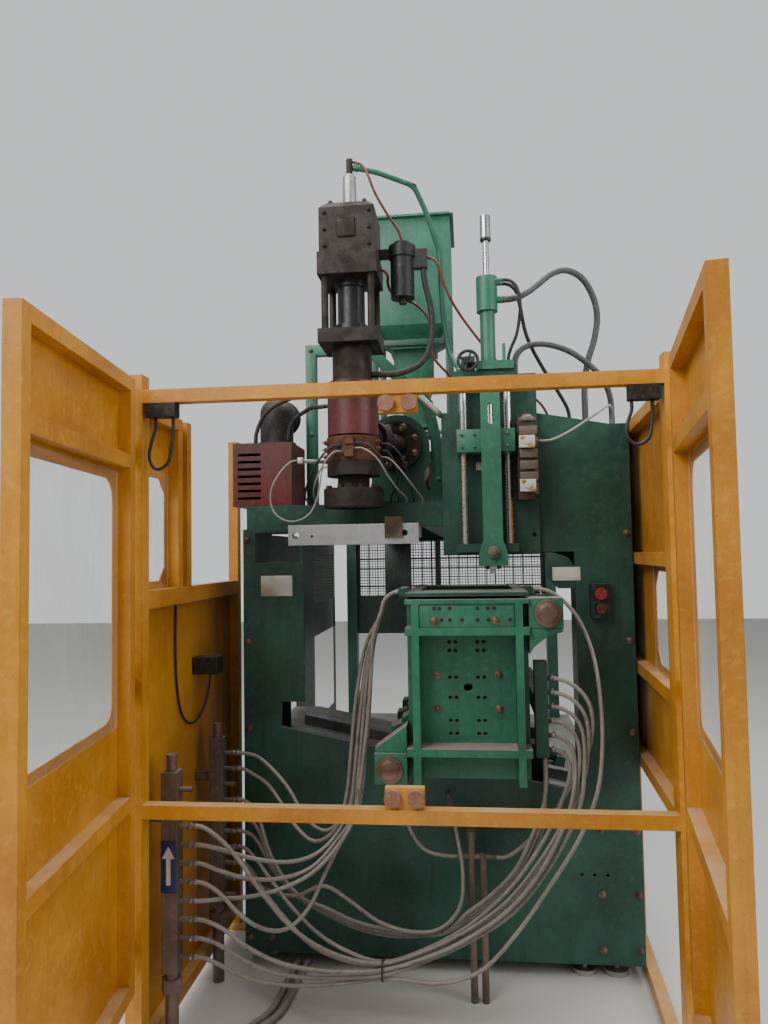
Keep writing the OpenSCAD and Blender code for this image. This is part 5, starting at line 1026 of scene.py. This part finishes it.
def rear_wires(bm):
    wire_grid(bm, lambda u, v, layer: at(u, 2638 - MESH_LAYER * layer, v), *REAR_MESH)


def rear_strips(bm):
    for x0, x1 in ((-323, -156), (-6, 28)):
        add_box(bm, (x0, 2628, 1243), (x1, 2633, 1592))


def side_panel(bm):
    for y0, y1, z0, z1 in SIDE_STRIPS:
        add_box(bm, (SIDE_OUT, y0, z0), (SIDE_IN, y1, z1))


def side_wires(bm):
    wire_grid(bm, lambda u, v, layer: at(SIDE_OUT + MESH_LAYER * (layer + 1), u, v), *SIDE_WINDOW)


solid("rear_wires", "dark_mesh", "frame", rear_wires, 0)
solid("rear_strips", "dark_mesh", "frame", rear_strips, 0.8)
solid("side_panel", "dark_mesh", "frame", side_panel, 0)
solid("side_wires", "dark_mesh", "frame", side_wires, 0)


def tower_step(bm):
    add_outline(bm, [(482, 1499.7), (482, 1408), (520, 1366), (579.7, 1366), (579.7, 1499.7)], 650, 674.6)


solid("tower_step", "green_paint", "frame", tower_step, 2)


# Round the head

BARREL = (-75, 1930)
FLANGE_BOLTS, FLANGE_FACE = 8, 859.8
CONDUIT = [(-690, 160, 13), (-560, 215, 13), (-470, 360, 13), (-452, 690, 13)]
CONDUIT_PITCH, CONDUIT_RADIUS, CONDUIT_BEND = 34, 0.0115, 0.06


def round_barrel(radius, turn):
    """The x and z of a point round the barrel's axis, turn being in degrees."""
    a = math.radians(turn)
    return BARREL[0] + radius * math.cos(a), BARREL[1] + radius * math.sin(a)


def barrel_bolts(bm):
    """The flange's bolts and the three sensors that stand out of it."""
    for k in range(FLANGE_BOLTS):
        x, z = round_barrel(80, 22.5 + 45 * k)
        add_bolt(bm, (x, FLANGE_FACE, z), TO_FRONT, 9, 12)
    for turn, reach in ((70, 34), (110, 42), (300, 30)):
        x, z = round_barrel(62, turn)
        add_rod(bm, (x, 859, z), (x, 859 - reach, z), 8, 16)
        add_rod(bm, (x, 859 - reach, z), (x, 845 - reach, z), 5, 12)


def head_connector(bm):
    add_rod(bm, (-301.4, 572, 1836), (-378, 522, 1836), 7, 16)
    add_box(bm, (-396, 508, 1826), (-376, 530, 1848))


def floor_conduits(bm):
    for offset in (0, CONDUIT_PITCH):
        route = [(x + offset, y, z) for x, y, z in CONDUIT]
        swept(bm, bent_line(route, CONDUIT_BEND), CONDUIT_RADIUS, PIPE_SIDES)


solid("barrel_bolts", "black_steel", "frame", barrel_bolts, 0.8, M["brown_steel"])
solid("head_connector", "pale_metal", "frame", head_connector, 1)
solid("floor_conduits", "pale_metal", "frame", floor_conduits, 0, M["grey_hose"])
add_cable("head_loop", [(-396.3, 518, 1838), (-420, 512, 1834), (-462, 500, 1790), (-492, 494, 1722),
          (-480, 492, 1655), (-440, 490, 1624), (-400, 490, 1620), (-352, 492, 1645), (-324, 502, 1705),
          (-318, 528, 1765), (-318, 552, 1800), (-312, 564, 1815), (-301.7, 566, 1817)], 3, "pale_cable")


# Stage

FLOOR_HALF = 14
FLOOR_COLOUR, FLOOR_ROUGH = (205, 204, 200), 0.75
SKY = (0.93, 0.95, 0.97, 1)
SKY_AS_LIGHT, SKY_AS_SEEN = 0.42, 0.80

# name, place, what it looks at, size, power, colour
LIGHTS = (("key_light", (-2.4, -3.6, 4.6), (0, 0, 1.5), 3.2, 230, (1.0, 0.98, 0.95)),
          ("top_light", (0.8, 0.6, 6.2), (0.1, -0.2, 1.5), 4.0, 260, (0.96, 0.98, 1.0)),
          ("fill_light", (3.8, -2.6, 2.6), (0, 0, 1.4), 2.6, 90, (0.98, 0.99, 1.0)))


def add_floor():
    mesh = bpy.data.meshes.new("floor")
    corners = [(x * FLOOR_HALF, y * FLOOR_HALF, 0) for x, y in ((-1, -1), (1, -1), (1, 1), (-1, 1))]
    mesh.from_pydata(corners, [], [(0, 1, 2, 3)])
    ground = bpy.data.objects.new("floor", mesh)
    scene.collection.objects.link(ground)
    mesh.materials.append(Graph("m_floor").finish(rgb(*FLOOR_COLOUR), FLOOR_ROUGH))


def add_light(name, place, look, size, power, colour):
    lamp = bpy.data.lights.new(name, "AREA")
    lamp.shape = "SQUARE"
    lamp.size = size
    lamp.energy = power
    lamp.color = colour
    placed = bpy.data.objects.new(name, lamp)
    aim = (Vector(look) - Vector(place)).normalized()
    placed.matrix_world = Matrix.Translation(place) @ aim.to_track_quat("-Z", "Y").to_matrix().to_4x4()
    scene.collection.objects.link(placed)


def add_world():
    """A pale sky, brighter where it is seen than where it lights."""
    world = bpy.data.worlds.new("world")
    world.use_nodes = True
    scene.world = world
    nodes, links = world.node_tree.nodes, world.node_tree.links
    nodes.clear()
    path = nodes.new("ShaderNodeLightPath")
    seen = nodes.new("ShaderNodeMath")
    seen.operation = "MAXIMUM"
    links.new(path.outputs["Is Camera Ray"], seen.inputs[0])
    links.new(path.outputs["Is Transmission Ray"], seen.inputs[1])
    strength = nodes.new("ShaderNodeMapRange")
    strength.inputs["To Min"].default_value = SKY_AS_LIGHT
    strength.inputs["To Max"].default_value = SKY_AS_SEEN
    links.new(seen.outputs[0], strength.inputs["Value"])
    background = nodes.new("ShaderNodeBackground")
    background.inputs[0].default_value = SKY
    links.new(strength.outputs[0], background.inputs[1])
    out = nodes.new("ShaderNodeOutputWorld")
    links.new(background.outputs[0], out.inputs[0])


add_floor()
for row in LIGHTS:
    add_light(*row)
add_world()
